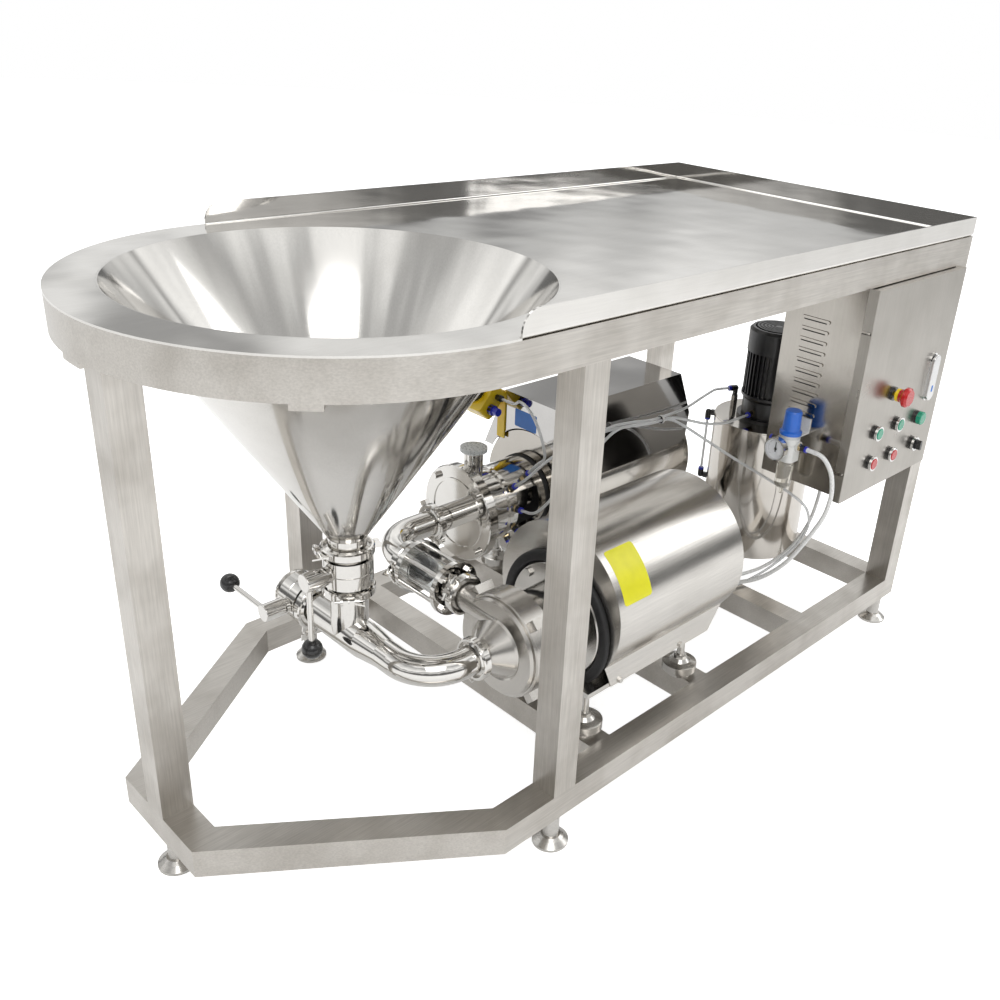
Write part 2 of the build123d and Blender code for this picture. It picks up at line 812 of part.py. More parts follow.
# Impeller: back disc, swept blades and hub on the shaft that runs back to the motor
blade_front_x = pump_front_x + casing_wall + 6
impeller_disc_x = pump_back_x - 12
with BuildPart() as pump_impeller:
    with BuildSketch(pump_line):
        Polygon(
            (blade_front_x + 2, 0),
            (blade_front_x + 8, 12),
            (impeller_disc_x - 6, 16),
            (impeller_disc_x, impeller_radius),
            (impeller_disc_x + 4, impeller_radius),
            (impeller_disc_x + 4, pump_shaft_radius),
            (motor_face_x - 2, pump_shaft_radius),
            (motor_face_x - 2, 0),
            align=None,
        )
    revolve(axis=pump_axis)
    with BuildSketch(facing_right(blade_front_x, pump_y, pump_z)):
        with PolarLocations(0, impeller_blades):
            with BuildLine():
                inner_edge = RadiusArc((14, 0), (impeller_radius - 2, 34), -90)
                outer_edge = RadiusArc((14, 5), (impeller_radius - 6, 39), -90)
                Line(inner_edge @ 0, outer_edge @ 0)
                Line(inner_edge @ 1, outer_edge @ 1)
            make_face()
        Circle(impeller_radius, mode=Mode.INTERSECT)
    extrude(amount=impeller_disc_x - blade_front_x)
pump_impeller.part.label = "pump_impeller"
export_step(pump_impeller.part, "parts/pump_impeller.step")

# Lantern: back plate of the pump and the windowed barrel that joins it to the motor
lantern_plate = 6.0
with BuildPart() as pump_lantern:
    with BuildSketch(pump_line):
        Polygon(
            (pump_back_x, pump_shaft_radius + shaft_gap),
            (pump_back_x, casing_radius),
            (pump_back_x + lantern_plate, casing_radius),
            (pump_back_x + lantern_plate, lantern_radius),
            (motor_face_x, lantern_radius),
            (motor_face_x, lantern_radius - lantern_wall),
            (pump_back_x + 2 * lantern_plate, lantern_radius - lantern_wall),
            (pump_back_x + 2 * lantern_plate, pump_shaft_radius + shaft_gap),
            align=None,
        )
    revolve(axis=pump_axis)
    with BuildSketch(facing_front((pump_back_x + motor_face_x) / 2 + lantern_plate, pump_y, pump_z)):
        RectangleRounded(motor_face_x - pump_back_x - 40, window_height, 8)
    extrude(amount=lantern_radius * 1.5, both=True, mode=Mode.SUBTRACT)
pump_lantern.part.label = "pump_lantern"
export_step(pump_lantern.part, "parts/pump_lantern.step")


# Motors: flange disc, barrel and the feet that stand on the base plate
def motor_feet(x_start, x_end, y, bottom, top):
    """Two bars under a motor."""
    with BuildPart() as piece:
        for side in (-1, 1):
            with Locations(at((x_start + x_end) / 2, y + side * foot_half, (bottom + top) / 2)):
                Box(x_end - x_start, foot_width, top - bottom)
    return piece.part


plate_top = base_plate_z + base_plate
with BuildPart() as front_motor:
    with BuildSketch(pump_line):
        Polygon(
            (motor_face_x, 0),
            (motor_face_x, motor_disc_radius - 2),
            (motor_face_x + 2, motor_disc_radius),
            (motor_face_x + motor_disc, motor_disc_radius),
            (motor_face_x + motor_disc, motor_radius),
            (cover_rear_x - 60, motor_radius),
            (cover_rear_x - 40, motor_radius - 20),
            (cover_rear_x - 40, 0),
            align=None,
        )
    revolve(axis=pump_axis)
    with BuildSketch(facing_right(motor_face_x, pump_y, pump_z)):
        with PolarLocations(motor_disc_radius - 12, 4, 45):
            RegularPolygon(8, 6)
    extrude(amount=-6)
    add(motor_feet(cover_front_x + 40, cover_rear_x - 100, pump_y, plate_top, pump_z - motor_radius + 32))
front_motor.part.label = "front_motor"
export_step(front_motor.part, "parts/front_motor.step")

# Rubber rings: one closes the front motor's cover, one joins the mixing head to its hood
head_line = along(at(0, head_y, head_z), RIGHT)
head_axis = Axis(head_line.origin, RIGHT)


def rubber_ring(line, start, end, inner, outer):
    """A ring with a rounded rim."""
    with BuildPart() as piece:
        with BuildSketch(line):
            with Locations(((start + end) / 2, (inner + outer) / 2)):
                RectangleRounded(end - start, outer - inner, (end - start) * 0.45)
        revolve(axis=Axis(line.origin, RIGHT))
    return piece.part


ring_width = 12.0
seal_ring = rubber_ring(
    pump_line,
    cover_front_x - ring_width,
    cover_front_x,
    seal_ring_radius - seal_ring_wall,
    seal_ring_radius,
)
with BuildPart() as under_the_plate:
    with Locations(at(cover_front_x, pump_y, plate_top)):
        Box(
            4 * ring_width,
            2 * seal_ring_radius,
            seal_ring_radius,
            align=(Align.CENTER, Align.CENTER, Align.MAX),
        )
rubber_rings = Compound(
    label="rubber_rings",
    children=[
        seal_ring - under_the_plate.part,
        rubber_ring(head_line, head_lantern_end, hood_front_x - 6, head_shaft_radius + 20, head_drum_radius + 3),
    ],
)
export_step(rubber_rings, "parts/rubber_rings.step")

# Front motor's cover: a rolled shell, flat hems along both sides, and slotted end plates
def cover_section(inset, bottom_z):
    """Outline of the cover across the motor, moved inwards by inset: an arch on upright hems."""
    radius = cover_radius - inset
    half = cover_hem_half - inset
    drop = -math.sqrt(radius**2 - half**2)
    bottom = bottom_z - cover_centre_z
    with BuildSketch(Plane.XY, mode=Mode.PRIVATE) as section:
        with BuildLine():
            ThreePointArc((-half, drop), (0, radius), (half, drop))
            Polyline((half, drop), (half, bottom), (-half, bottom), (-half, drop))
        make_face()
    return section.sketch


cover_length = cover_rear_x - cover_front_x
edge_bolt_z = base_plate_z + base_plate / 2
outer_section = cover_section(0, base_plate_z)
inner_section = cover_section(cover_sheet, plate_top)
with BuildPart() as front_motor_cover:
    with BuildSketch(facing_right(cover_front_x, pump_y, cover_centre_z)):
        add(outer_section)
    extrude(amount=cover_length)
    with BuildSketch(facing_right(cover_front_x + cover_sheet, pump_y, cover_centre_z)):
        add(inner_section)
    extrude(amount=cover_length - 2 * cover_sheet, mode=Mode.SUBTRACT)
    with Locations(at(cover_front_x + cover_length / 2, pump_y, base_plate_z)):
        Box(
            cover_length,
            2 * (cover_hem_half - cover_sheet),
            base_plate,
            align=(Align.CENTER, Align.CENTER, Align.MIN),
            mode=Mode.SUBTRACT,
        )
    with BuildSketch(facing_right(cover_front_x, pump_y, pump_z)):
        Circle(seal_ring_radius - seal_ring_wall / 2)
    extrude(amount=cover_sheet, mode=Mode.SUBTRACT)
    with BuildSketch(facing_right(cover_rear_x, pump_y, cover_centre_z)):
        with PolarLocations(72, 12):
            SlotOverall(56, 8)
    extrude(amount=-2 * cover_sheet, mode=Mode.SUBTRACT)
    with BuildSketch(facing_front(0, pump_y, base_plate_z)):
        front_length, front_height = cover_front_cut
        rear_length, rear_height = cover_rear_cut
        with Locations((cover_front_x, 0)):
            Polygon((0, 0), (front_length, 0), (0, front_height), align=None)
        with Locations((cover_rear_x, 0)):
            Polygon((0, 0), (-rear_length, 0), (0, rear_height), align=None)
    extrude(amount=cover_radius * 1.2, both=True, mode=Mode.SUBTRACT)
    with BuildSketch(facing_front(0, pump_y, edge_bolt_z)):
        with Locations(*[(x, 0) for x in hem_bolt_xs]):
            Circle(bolt_shank + shaft_gap)
    extrude(amount=cover_radius, both=True, mode=Mode.SUBTRACT)
front_motor_cover.part.label = "front_motor_cover"
export_step(front_motor_cover.part, "parts/front_motor_cover.step")


# Motor mounts: base plates, cups on the cross rails, studs with nuts, and bolts for the hems
def cup_mount(x, y):
    """A rubber foot under a steel cup, and the stud that rises from its nut into the plate."""
    line = along(at(x, y, rail_top), UP)
    with BuildPart() as cup:
        with BuildSketch(line):
            Polygon(
                (0, 0),
                (0, cup_foot_radius),
                (9, cup_foot_radius),
                (11, cup_radius),
                (26, cup_radius),
                (27, cup_radius - 2.5),
                (30, 20),
                (36, 14),
                (36, 0),
                align=None,
            )
        revolve(axis=Axis(line.origin, UP))
    with BuildPart() as stud:
        with BuildSketch(line):
            Polygon(
                (36, 0),
                (36, stud_radius + 2),
                (base_plate_z - rail_top, stud_radius),
                (plate_top - rail_top, stud_radius),
                (plate_top - rail_top, 0),
                align=None,
            )
        revolve(axis=Axis(line.origin, UP))
        with BuildSketch(level(x, y, rail_top + 36)):
            RegularPolygon(12, 6)
        extrude(amount=7)
    return [cup.part, stud.part]


def base_plate_piece(x_start, x_end, y, studs):
    """A motor's base plate, holed for the studs."""
    with BuildPart() as piece:
        with BuildSketch(level(0, 0, base_plate_z)):
            with Locations(((x_start + x_end) / 2, y)):
                Rectangle(x_end - x_start, 2 * (cover_hem_half - cover_sheet))
            with Locations(*studs):
                Circle(stud_radius, mode=Mode.SUBTRACT)
        extrude(amount=base_plate)
    return piece.part


def hem_bolt(x, side):
    """A hex bolt through a hem into the edge of the base plate."""
    outwards = BACK if side > 0 else FRONT
    edge = Plane(origin=at(x, pump_y + side * (cover_hem_half - cover_sheet), edge_bolt_z), z_dir=outwards)
    with BuildPart() as piece:
        with BuildSketch(edge):
            Circle(bolt_shank)
        extrude(amount=cover_sheet)
        with BuildSketch(edge.offset(cover_sheet)):
            RegularPolygon(2 * bolt_shank, 6)
        extrude(amount=4)
    return piece.part


with BuildPart() as plate_notch:
    with Locations(at(front_plate_x[0], pump_y, base_plate_z)):
        Box(2 * notch_depth, 2 * notch_half, 2 * base_plate)
    fillet(plate_notch.edges().filter_by(Axis.Z), 10)
front_studs = [(x, pump_y + side * mount_half) for x in front_mounts_x for side in (-1, 1)]
rear_studs = [(x, head_y + side * mount_half) for x in cross_xs[1:] for side in (-1, 1)]
mount_pieces = [
    base_plate_piece(*front_plate_x, pump_y, front_studs) - plate_notch.part,
    base_plate_piece(*rear_plate_x, head_y, rear_studs),
]
for stud_x, stud_y in [*front_studs, *rear_studs]:
    mount_pieces.extend(cup_mount(stud_x, stud_y))
for bolt_x in hem_bolt_xs:
    for bolt_side in (-1, 1):
        mount_pieces.append(hem_bolt(bolt_x, bolt_side))
motor_mounts = Compound(label="motor_mounts", children=mount_pieces)
export_step(motor_mounts, "parts/motor_mounts.step")

# Sight glass: two flanged stubs held by four tie rods, with a glass tube between
glass_line = outlet_line
with BuildPart() as sight_glass_frame:
    for joint_y, face_y in ((outlet_joint_y, glass_front_y), (glass_joint_y, glass_back_y)):
        towards = 1 if face_y > joint_y else -1
        with BuildSketch(glass_line):
            Polygon(
                (joint_y, small_pipe - pipe_wall),
                (joint_y, small_ferrule),
                (joint_y + towards * ferrule_rim, small_ferrule),
                (joint_y + towards * (ferrule_rim + ferrule_taper), small_pipe),
                (face_y, small_pipe),
                (face_y, glass_flange_radius),
                (face_y + towards * glass_flange, glass_flange_radius),
                (face_y + towards * glass_flange, small_pipe - pipe_wall),
                align=None,
            )
        revolve(axis=outlet_axis)
    with BuildSketch(Plane(origin=at(outlet_x, glass_front_y - 9, outlet_z), x_dir=RIGHT, z_dir=BACK)):
        with PolarLocations(tie_rod_circle, 4, 45):
            Circle(tie_rod_radius)
    extrude(amount=glass_back_y - glass_front_y + 18)
    for y in (glass_front_y - 6, glass_back_y):
        with BuildSketch(Plane(origin=at(outlet_x, y, outlet_z), x_dir=RIGHT, z_dir=BACK)):
            with PolarLocations(tie_rod_circle, 4, 45):
                RegularPolygon(tie_rod_radius * 1.9, 6)
        extrude(amount=6)
sight_glass_frame.part.label = "sight_glass_frame"
export_step(sight_glass_frame.part, "parts/sight_glass_frame.step")

with BuildPart() as sight_glass_tube:
    with BuildSketch(Plane(origin=at(outlet_x, glass_front_y + glass_flange, outlet_z), z_dir=BACK)):
        Circle(glass_radius)
        Circle(glass_radius - glass_wall, mode=Mode.SUBTRACT)
    extrude(amount=glass_back_y - glass_front_y - 2 * glass_flange)
sight_glass_tube.part.label = "sight_glass_tube"
export_step(sight_glass_tube.part, "parts/sight_glass_tube.step")

# Bend from the sight glass to the mixing head
with BuildPart() as outlet_elbow:
    for wall, mode in ((0, Mode.ADD), (pipe_wall, Mode.SUBTRACT)):
        narrow = small_pipe - wall
        with BuildSketch(Plane(origin=at(outlet_x, glass_joint_y, outlet_z), z_dir=BACK)):
            Circle(narrow)
        extrude(amount=outlet_bend_y - glass_joint_y, mode=mode)
        with BuildLine() as bend:
            TangentArc(
                at(outlet_x, outlet_bend_y, outlet_z),
                at(outlet_x + bend_radius, outlet_bend_y + bend_radius, outlet_z),
                tangent=BACK,
            )
        with BuildSketch(Plane(origin=bend.line @ 0, z_dir=bend.line % 0)):
            Circle(narrow)
        sweep(mode=mode)
        with BuildSketch(facing_right(outlet_x + bend_radius, head_y, head_z)):
            Circle(narrow)
        extrude(amount=head_joint_x - outlet_x - bend_radius, mode=mode)
        if mode == Mode.ADD:
            with BuildSketch(outlet_line):
                Polygon(*ferrule_outline(glass_joint_y, small_pipe, small_ferrule, 1), align=None)
            revolve(axis=outlet_axis)
            with BuildSketch(head_line):
                Polygon(*ferrule_outline(head_joint_x, small_pipe, small_ferrule, -1), align=None)
            revolve(axis=head_axis)
outlet_elbow.part.label = "outlet_elbow"
export_step(outlet_elbow.part, "parts/outlet_elbow.step")

# Mixing head cover: inlet stub, round plate with a raised ring, and the toothed stator inside
flange_x = head_face_x + head_cover
with BuildPart() as head_cover_piece:
    with BuildSketch(head_line):
        Polygon(
            (head_joint_x, small_pipe - pipe_wall),
            (head_joint_x, small_ferrule),
            (head_joint_x + ferrule_rim, small_ferrule),
            (head_joint_x + ferrule_rim + ferrule_taper, small_pipe),
            (head_face_x, small_pipe),
            (head_face_x, head_ring_radius - 4),
            (head_face_x - 2, head_ring_radius - 4),
            (head_face_x - 2, head_ring_radius),
            (head_face_x, head_ring_radius),
            (head_face_x, head_flange_radius - 2),
            (head_face_x + 2, head_flange_radius),
            (flange_x, head_flange_radius),
            (flange_x, small_pipe - pipe_wall),
            align=None,
        )
    revolve(axis=head_axis)
    with BuildSketch(facing_right(flange_x, head_y, head_z)):
        Circle(stator_radius)
        Circle(rotor_radius + 1, mode=Mode.SUBTRACT)
        with PolarLocations(stator_radius - 2, 24):
            Rectangle(14, 5, mode=Mode.SUBTRACT)
    extrude(amount=24)
    with BuildSketch(facing_right(flange_x, head_y, head_z)):
        Circle(stator_radius)
        Circle(rotor_radius + 1, mode=Mode.SUBTRACT)
    extrude(amount=4)
    with BuildSketch(facing_right(head_face_x, head_y, head_z)):
        with PolarLocations(head_bolt_circle, 4, 45):
            Circle(7)
    extrude(amount=-9)
head_cover_piece.part.label = "head_cover"
export_step(head_cover_piece.part, "parts/head_cover.step")

# Mixing head casing: flange, drum and the outlet nozzle on top
drum_wall = 5.0
flange_thickness = 10.0
with BuildPart() as head_casing:
    with BuildSketch(head_line):
        Polygon(
            (flange_x, 0),
            (flange_x, head_flange_radius),
            (flange_x + flange_thickness, head_flange_radius),
            (flange_x + flange_thickness, head_drum_radius),
            (head_drum_end, head_drum_radius),
            (head_drum_end, 0),
            align=None,
        )
    revolve(axis=head_axis)
    with BuildSketch(level(nozzle_x, head_y, head_z)):
        Circle(nozzle_pipe)
    extrude(amount=nozzle_top_z - head_z - 6)
    nozzle_line = along(at(nozzle_x, head_y, 0), UP)
    with BuildSketch(nozzle_line):
        Polygon(*ferrule_outline(nozzle_top_z - 6, nozzle_pipe, nozzle_ferrule, -1), align=None)
    revolve(axis=Axis(nozzle_line.origin, UP))
    with BuildSketch(head_line):
        Polygon(
            (flange_x, 0),
            (flange_x, head_drum_radius - drum_wall),
            (head_drum_end - drum_wall, head_drum_radius - drum_wall),
            (head_drum_end - drum_wall, head_shaft_radius + shaft_gap),
            (head_drum_end, head_shaft_radius + shaft_gap),
            (head_drum_end, 0),
            align=None,
        )
    revolve(axis=head_axis, mode=Mode.SUBTRACT)
    with BuildSketch(level(nozzle_x, head_y, head_z)):
        Circle(nozzle_pipe - pipe_wall)
    extrude(amount=nozzle_top_z - head_z, mode=Mode.SUBTRACT)
head_casing.part.label = "head_casing"
export_step(head_casing.part, "parts/head_casing.step")

# Cap on the product nozzle; it is one of the fasteners, as the pipe clamps are
with BuildPart() as nozzle_cap:
    with BuildSketch(nozzle_line):
        Polygon(
            (nozzle_top_z - 8, nozzle_ferrule + 0.2),
            (nozzle_top_z - 8, nozzle_ferrule + 2),
            (nozzle_top_z, nozzle_ferrule + 2),
            (nozzle_top_z, 0),
            (nozzle_top_z - 3, 0),
            (nozzle_top_z - 3, nozzle_pipe),
            (nozzle_top_z - 6, nozzle_pipe),
            (nozzle_top_z - 6, nozzle_ferrule + 0.2),
            align=None,
        )
    revolve(axis=Axis(nozzle_line.origin, UP))
clamp_pieces.append(nozzle_cap.part)
pipe_clamps = Compound(label="pipe_clamps", children=clamp_pieces)
export_step(pipe_clamps, "parts/pipe_clamps.step")

# Rotor: slotted ring and hub on the shaft, with the rubber-jawed coupling in the lantern
rotor_back_x = flange_x + 30
with BuildPart() as head_rotor:
    with BuildSketch(head_line):
        Polygon(
            (flange_x + 1, 0),
            (flange_x + 6, 14),
            (rotor_back_x - 6, 20),
            (rotor_back_x - 6, rotor_radius),
            (rotor_back_x, rotor_radius),
            (rotor_back_x, head_shaft_radius),
            (hood_front_x - 8, head_shaft_radius),
            (hood_front_x - 8, 0),
            align=None,
        )
    revolve(axis=head_axis)
    with BuildSketch(facing_right(flange_x + 1, head_y, head_z)):
        Circle(rotor_radius)
        Circle(rotor_radius - 6, mode=Mode.SUBTRACT)
        with PolarLocations(rotor_radius - 3, 18):
            Rectangle(10, 6, mode=Mode.SUBTRACT)
    extrude(amount=rotor_back_x - flange_x - 4)

coupling_start = head_drum_end + 16
coupling_end = head_lantern_end - 10
with BuildPart() as head_coupling:
    with BuildSketch(head_line):
        Polygon(
            (coupling_start, head_shaft_radius),
            (coupling_start, 34),
            (coupling_start + 4, 38),
            (coupling_start + 30, 38),
            (coupling_start + 32, 35),
            (coupling_start + 38, 35),
            (coupling_start + 40, 38),
            (coupling_end - 4, 38),
            (coupling_end, 34),
            (coupling_end, head_shaft_radius),
            align=None,
        )
    revolve(axis=head_axis)
head_turning = Compound(label="head_rotor", children=[head_rotor.part, head_coupling.part])
export_step(head_turning, "parts/head_rotor.step")

# Lantern between drum and hood, with a window on each side
with BuildPart() as head_lantern:
    with BuildSketch(head_line):
        Polygon(
            (head_drum_end, head_shaft_radius + shaft_gap),
            (head_drum_end, head_drum_radius + 4),
            (head_drum_end + 8, head_drum_radius + 4),
            (head_drum_end + 8, head_drum_radius),
            (head_lantern_end, head_drum_radius),
            (head_lantern_end, head_drum_radius - lantern_wall),
            (head_drum_end + 10, head_drum_radius - lantern_wall),
            (head_drum_end + 10, head_shaft_radius + shaft_gap),
            align=None,
        )
    revolve(axis=head_axis)
    with BuildSketch(facing_front((head_drum_end + head_lantern_end) / 2 + 6, head_y, head_z)):
        RectangleRounded(66, window_height, 8)
    extrude(amount=head_drum_radius * 1.5, both=True, mode=Mode.SUBTRACT)
head_lantern.part.label = "head_lantern"
export_step(head_lantern.part, "parts/head_lantern.step")

# Rear motor under its hood
with BuildPart() as rear_motor:
    with BuildSketch(head_line):
        Polygon(
            (hood_front_x - 6, head_shaft_radius + 20),
            (hood_front_x - 6, head_drum_radius + 3),
            (hood_front_x + 4, head_drum_radius + 3),
            (hood_front_x + 4, rear_motor_radius - 3),
            (hood_front_x + 7, rear_motor_radius),
            (hood_rear_x - 3, rear_motor_radius),
            (hood_rear_x, rear_motor_radius - 3),
            (hood_rear_x, 0),
            (hood_front_x + 4, 0),
            (hood_front_x + 4, head_shaft_radius + 20),
            align=None,
        )
    revolve(axis=head_axis)
    add(motor_feet(hood_front_x + 30, hood_rear_x - 60, head_y, plate_top, head_z - rear_motor_radius + 36))
rear_motor.part.label = "rear_motor"
export_step(rear_motor.part, "parts/rear_motor.step")


def hood_section(inset):
    """The hood's trapezoid, moved in by the sheet and open below."""
    low = hood_bottom_z - head_z
    high = hood_top_z - head_z - inset
    with BuildSketch(Plane.XY, mode=Mode.PRIVATE) as section:
        Polygon(
            (-(hood_bottom_half - inset), low - inset),
            (hood_bottom_half - inset, low - inset),
            (hood_top_half - inset, high),
            (-(hood_top_half - inset), high),
            align=None,
        )
    return section.sketch


outer_hood = hood_section(0)
inner_hood = hood_section(hood_sheet)
with BuildPart() as rear_motor_hood:
    with BuildSketch(facing_right(hood_front_x, head_y, head_z)):
        add(outer_hood)
    extrude(amount=hood_rear_x - hood_front_x)
    with BuildSketch(facing_right(hood_front_x + hood_sheet, head_y, head_z)):
        add(inner_hood)
    extrude(amount=hood_rear_x - hood_front_x - 2 * hood_sheet, mode=Mode.SUBTRACT)
    with BuildSketch(facing_front(hood_rear_x, head_y, hood_bottom_z)):
        Polygon((0, 0), (-hood_cut, 0), (0, 55), align=None)
    extrude(amount=hood_bottom_half * 1.2, both=True, mode=Mode.SUBTRACT)
    with BuildSketch(facing_right(hood_front_x, head_y, head_z)):
        Circle(rear_motor_radius + 1)
    extrude(amount=hood_rear_x - hood_front_x, mode=Mode.SUBTRACT)
rear_motor_hood.part.label = "rear_motor_hood"
export_step(rear_motor_hood.part, "parts/rear_motor_hood.step")

# Seal-water tank: a rolled shell with its bottom and lid
tank_line = along(at(tank_x, tank_y, 0), UP)
tank_axis = Axis(tank_line.origin, UP)
with BuildPart() as tank_body:
    with BuildSketch(tank_line):
        Polygon(
            (rail_top, 0),
            (rail_top, tank_radius),
            (tank_top_z - tank_lid, tank_radius),
            (tank_top_z - tank_lid, tank_radius - 1),
            (tank_top_z, tank_radius - 1),
            (tank_top_z, 0),
            (tank_top_z - tank_lid, 0),
            (tank_top_z - tank_lid, tank_radius - tank_sheet),
            (rail_top + tank_lid, tank_radius - tank_sheet),
            (rail_top + tank_lid, 0),
            align=None,
        )
    revolve(axis=tank_axis)
tank_body.part.label = "tank_body"
export_step(tank_body.part, "parts/tank_body.step")

# Tank motor: pump block, ribbed barrel and a cowl with a ringed grille over the fan
cowl_wall = 2.0
grille_rings = (13, 21, 29, 37, 45, 53)
grille_gap = 4.0
with BuildPart() as tank_motor:
    with BuildSketch(tank_line):
        Polygon(
            (tank_top_z, 0),
            (tank_top_z, tank_motor_radius + 4),
            (tank_top_z + 8, tank_motor_radius + 4),
            (tank_top_z + 8, tank_motor_radius - 6),
            (tank_block_top_z - 8, tank_motor_radius - 6),
            (tank_block_top_z, tank_motor_radius),
            (tank_block_top_z + 6, tank_motor_radius),
            (tank_block_top_z + 6, tank_motor_radius - 9),
            (tank_ribs_top_z, tank_motor_radius - 9),
            (tank_ribs_top_z, tank_motor_radius),
            (tank_cowl_top_z - 6, tank_motor_radius),
            (tank_cowl_top_z, tank_motor_radius - 6),
            (tank_cowl_top_z, 0),
            (tank_cowl_top_z - cowl_wall, 0),
            (tank_cowl_top_z - cowl_wall, tank_motor_radius - 7),
            (tank_cowl_top_z - 7, tank_motor_radius - cowl_wall),
            (tank_ribs_top_z + 4, tank_motor_radius - cowl_wall),
            (tank_ribs_top_z + 4, 0),
            align=None,
        )
    revolve(axis=tank_axis)
    with BuildSketch(level(tank_x, tank_y, tank_block_top_z + 6)):
        with PolarLocations(tank_motor_radius - 6, tank_rib_count):
            Rectangle(8, 3)
    extrude(amount=tank_ribs_top_z - tank_block_top_z - 6)
    with BuildSketch(level(tank_x, tank_y, tank_cowl_top_z - cowl_wall)):
        for radius in grille_rings:
            Circle(radius)
            Circle(radius - grille_gap, mode=Mode.SUBTRACT)
        with PolarLocations(fan_radius / 2, 4):
            Rectangle(fan_radius + 4, 4, mode=Mode.SUBTRACT)
    extrude(amount=cowl_wall, mode=Mode.SUBTRACT)
tank_motor.part.label = "tank_motor"
export_step(tank_motor.part, "parts/tank_motor.step")

with BuildPart() as tank_fan:
    with BuildSketch(level(tank_x, tank_y, tank_ribs_top_z + 4 + seat_gap)):
        Circle(16)
    extrude(amount=34)
    with BuildSketch(level(tank_x, tank_y, tank_ribs_top_z + 14)):
        with PolarLocations(fan_radius / 2, fan_blades):
            Rectangle(fan_radius, 3)
        Circle(fan_radius, mode=Mode.INTERSECT)
    extrude(amount=22)
tank_fan.part.label = "tank_fan"
export_step(tank_fan.part, "parts/tank_fan.step")

# Cabinet: a welded box, open to the door, with louvres in its left side
lip = 15.0
door_depth = door_face - cabinet_front - door_gap
door_width = door_right - door_left
hinge_x = door_left + hinge_in_x
hinge_y = hinge_in_y - door_face
with BuildPart() as cabinet_body:
    with Locations(at(cabinet_left, -cabinet_front, cabinet_bottom_z)):
        Box(cabinet_width, cabinet_depth, cabinet_height, align=(Align.MIN, Align.MIN, Align.MIN))
    with Locations(at(cabinet_left + cabinet_sheet, cabinet_sheet - cabinet_front, cabinet_bottom_z + cabinet_sheet)):
        Box(
            cabinet_width - 2 * cabinet_sheet,
            cabinet_depth - 2 * cabinet_sheet,
            cabinet_height - 2 * cabinet_sheet,
            align=(Align.MIN, Align.MIN, Align.MIN),
            mode=Mode.SUBTRACT,
        )
    with Locations(at(cabinet_left + cabinet_width / 2, -cabinet_front, cabinet_bottom_z + cabinet_height / 2)):
        Box(cabinet_width - 2 * lip, 3 * cabinet_sheet, cabinet_height - 2 * lip, mode=Mode.SUBTRACT)
    louvre_middle_z = louvre_top_z - louvre_pitch * (louvre_count - 1) / 2
    louvre_plane = Plane(origin=at(cabinet_left, louvre_in - cabinet_front, louvre_middle_z), x_dir=FRONT, z_dir=LEFT)
    with BuildSketch(louvre_plane):
        with GridLocations(louvre_length, louvre_pitch, 1, louvre_count):
            SlotOverall(louvre_length, 7)
    extrude(amount=2.5)
    with BuildSketch(louvre_plane):
        with GridLocations(louvre_length, louvre_pitch, 1, louvre_count):
            with Locations((0, -3)):
                Rectangle(louvre_length - 12, 3)
    extrude(amount=10, both=True, mode=Mode.SUBTRACT)
    for z in hinge_zs:
        with BuildSketch(level(hinge_x, hinge_y, z)):
            Circle(hinge_pin + 1)
            Rectangle(2 * hinge_pin, -cabinet_front - hinge_y + 0.5, align=(Align.CENTER, Align.MIN))
        extrude(amount=hinge_arm)
        with BuildSketch(level(hinge_x, hinge_y, z - hinge_knuckle)):
            Circle(hinge_pin)
        extrude(amount=hinge_knuckle + hinge_arm / 2)
cabinet_body.part.label = "cabinet_body"
export_step(cabinet_body.part, "parts/cabinet_body.step")

# Control gear on its plate inside the cabinet
gear_plate_y = cabinet_depth - cabinet_front - cabinet_sheet
gear_middle_x = (cabinet_left + cabinet_right) / 2
gear_pieces = []
with BuildPart() as gear_plate:
    with Locations(at(gear_middle_x, gear_plate_y, (cabinet_bottom_z + beam_bottom) / 2)):
        Box(cabinet_width - 60, 2, cabinet_height - 60, align=(Align.CENTER, Align.MAX, Align.CENTER))
gear_pieces.append(gear_plate.part)
for row_drop, widths in ((75.6, (45, 45, 70)), (195.6, (54, 54, 54)), (325.6, (120,))):
    row_z = beam_bottom - row_drop
    with BuildPart() as rail_strip:
        with Locations(at(gear_middle_x, gear_plate_y - 2, row_z)):
            Box(cabinet_width - 90, 7, 35, align=(Align.CENTER, Align.MAX, Align.CENTER))
    gear_pieces.append(rail_strip.part)
    left = cabinet_left + 60
    for width in widths:
        with BuildPart() as block:
            with Locations(at(left, gear_plate_y - 9, row_z)):
                Box(width, 62, 78, align=(Align.MIN, Align.MAX, Align.CENTER))
            fillet(block.edges().filter_by(Axis.Z), 3)
        gear_pieces.append(block.part)
        left = left + width + 6
control_gear = Compound(label="control_gear", children=gear_pieces)
export_step(control_gear, "parts/control_gear.step")

# Door: a folded pan, hung on two pins behind its left edge, that reaches over the front leg
leg_clear = door_proud - seat_gap


def on_door(x, z, proud=0):
    """A plane on the door's outer face, or proud of it, that faces the operator."""
    return facing_front(x, -door_face - proud, z)


# The door's fittings, placed from its edges: each button, the selector, the lamp, the stop and the handle
button_places = {
    "green_button_left": (door_left + 94.5, door_bottom_z + 129),
    "green_button_right": (door_left + 181.5, door_bottom_z + 128),
    "red_button_left": (door_left + 95.5, door_bottom_z + 64),
    "red_button_right": (door_left + 178.5, door_bottom_z + 62),
}
selector_place = (door_right - 81, door_bottom_z + 62)
lamp_place = (door_right - 85, door_bottom_z + 122)
stop_place = (door_left + 138.5, door_bottom_z + 202)
handle_top = (door_right - 64, door_bottom_z + 242)
handle_length = 99.0
fitting_hole = 11.2
all_fittings = [*button_places.values(), selector_place, lamp_place, stop_place]

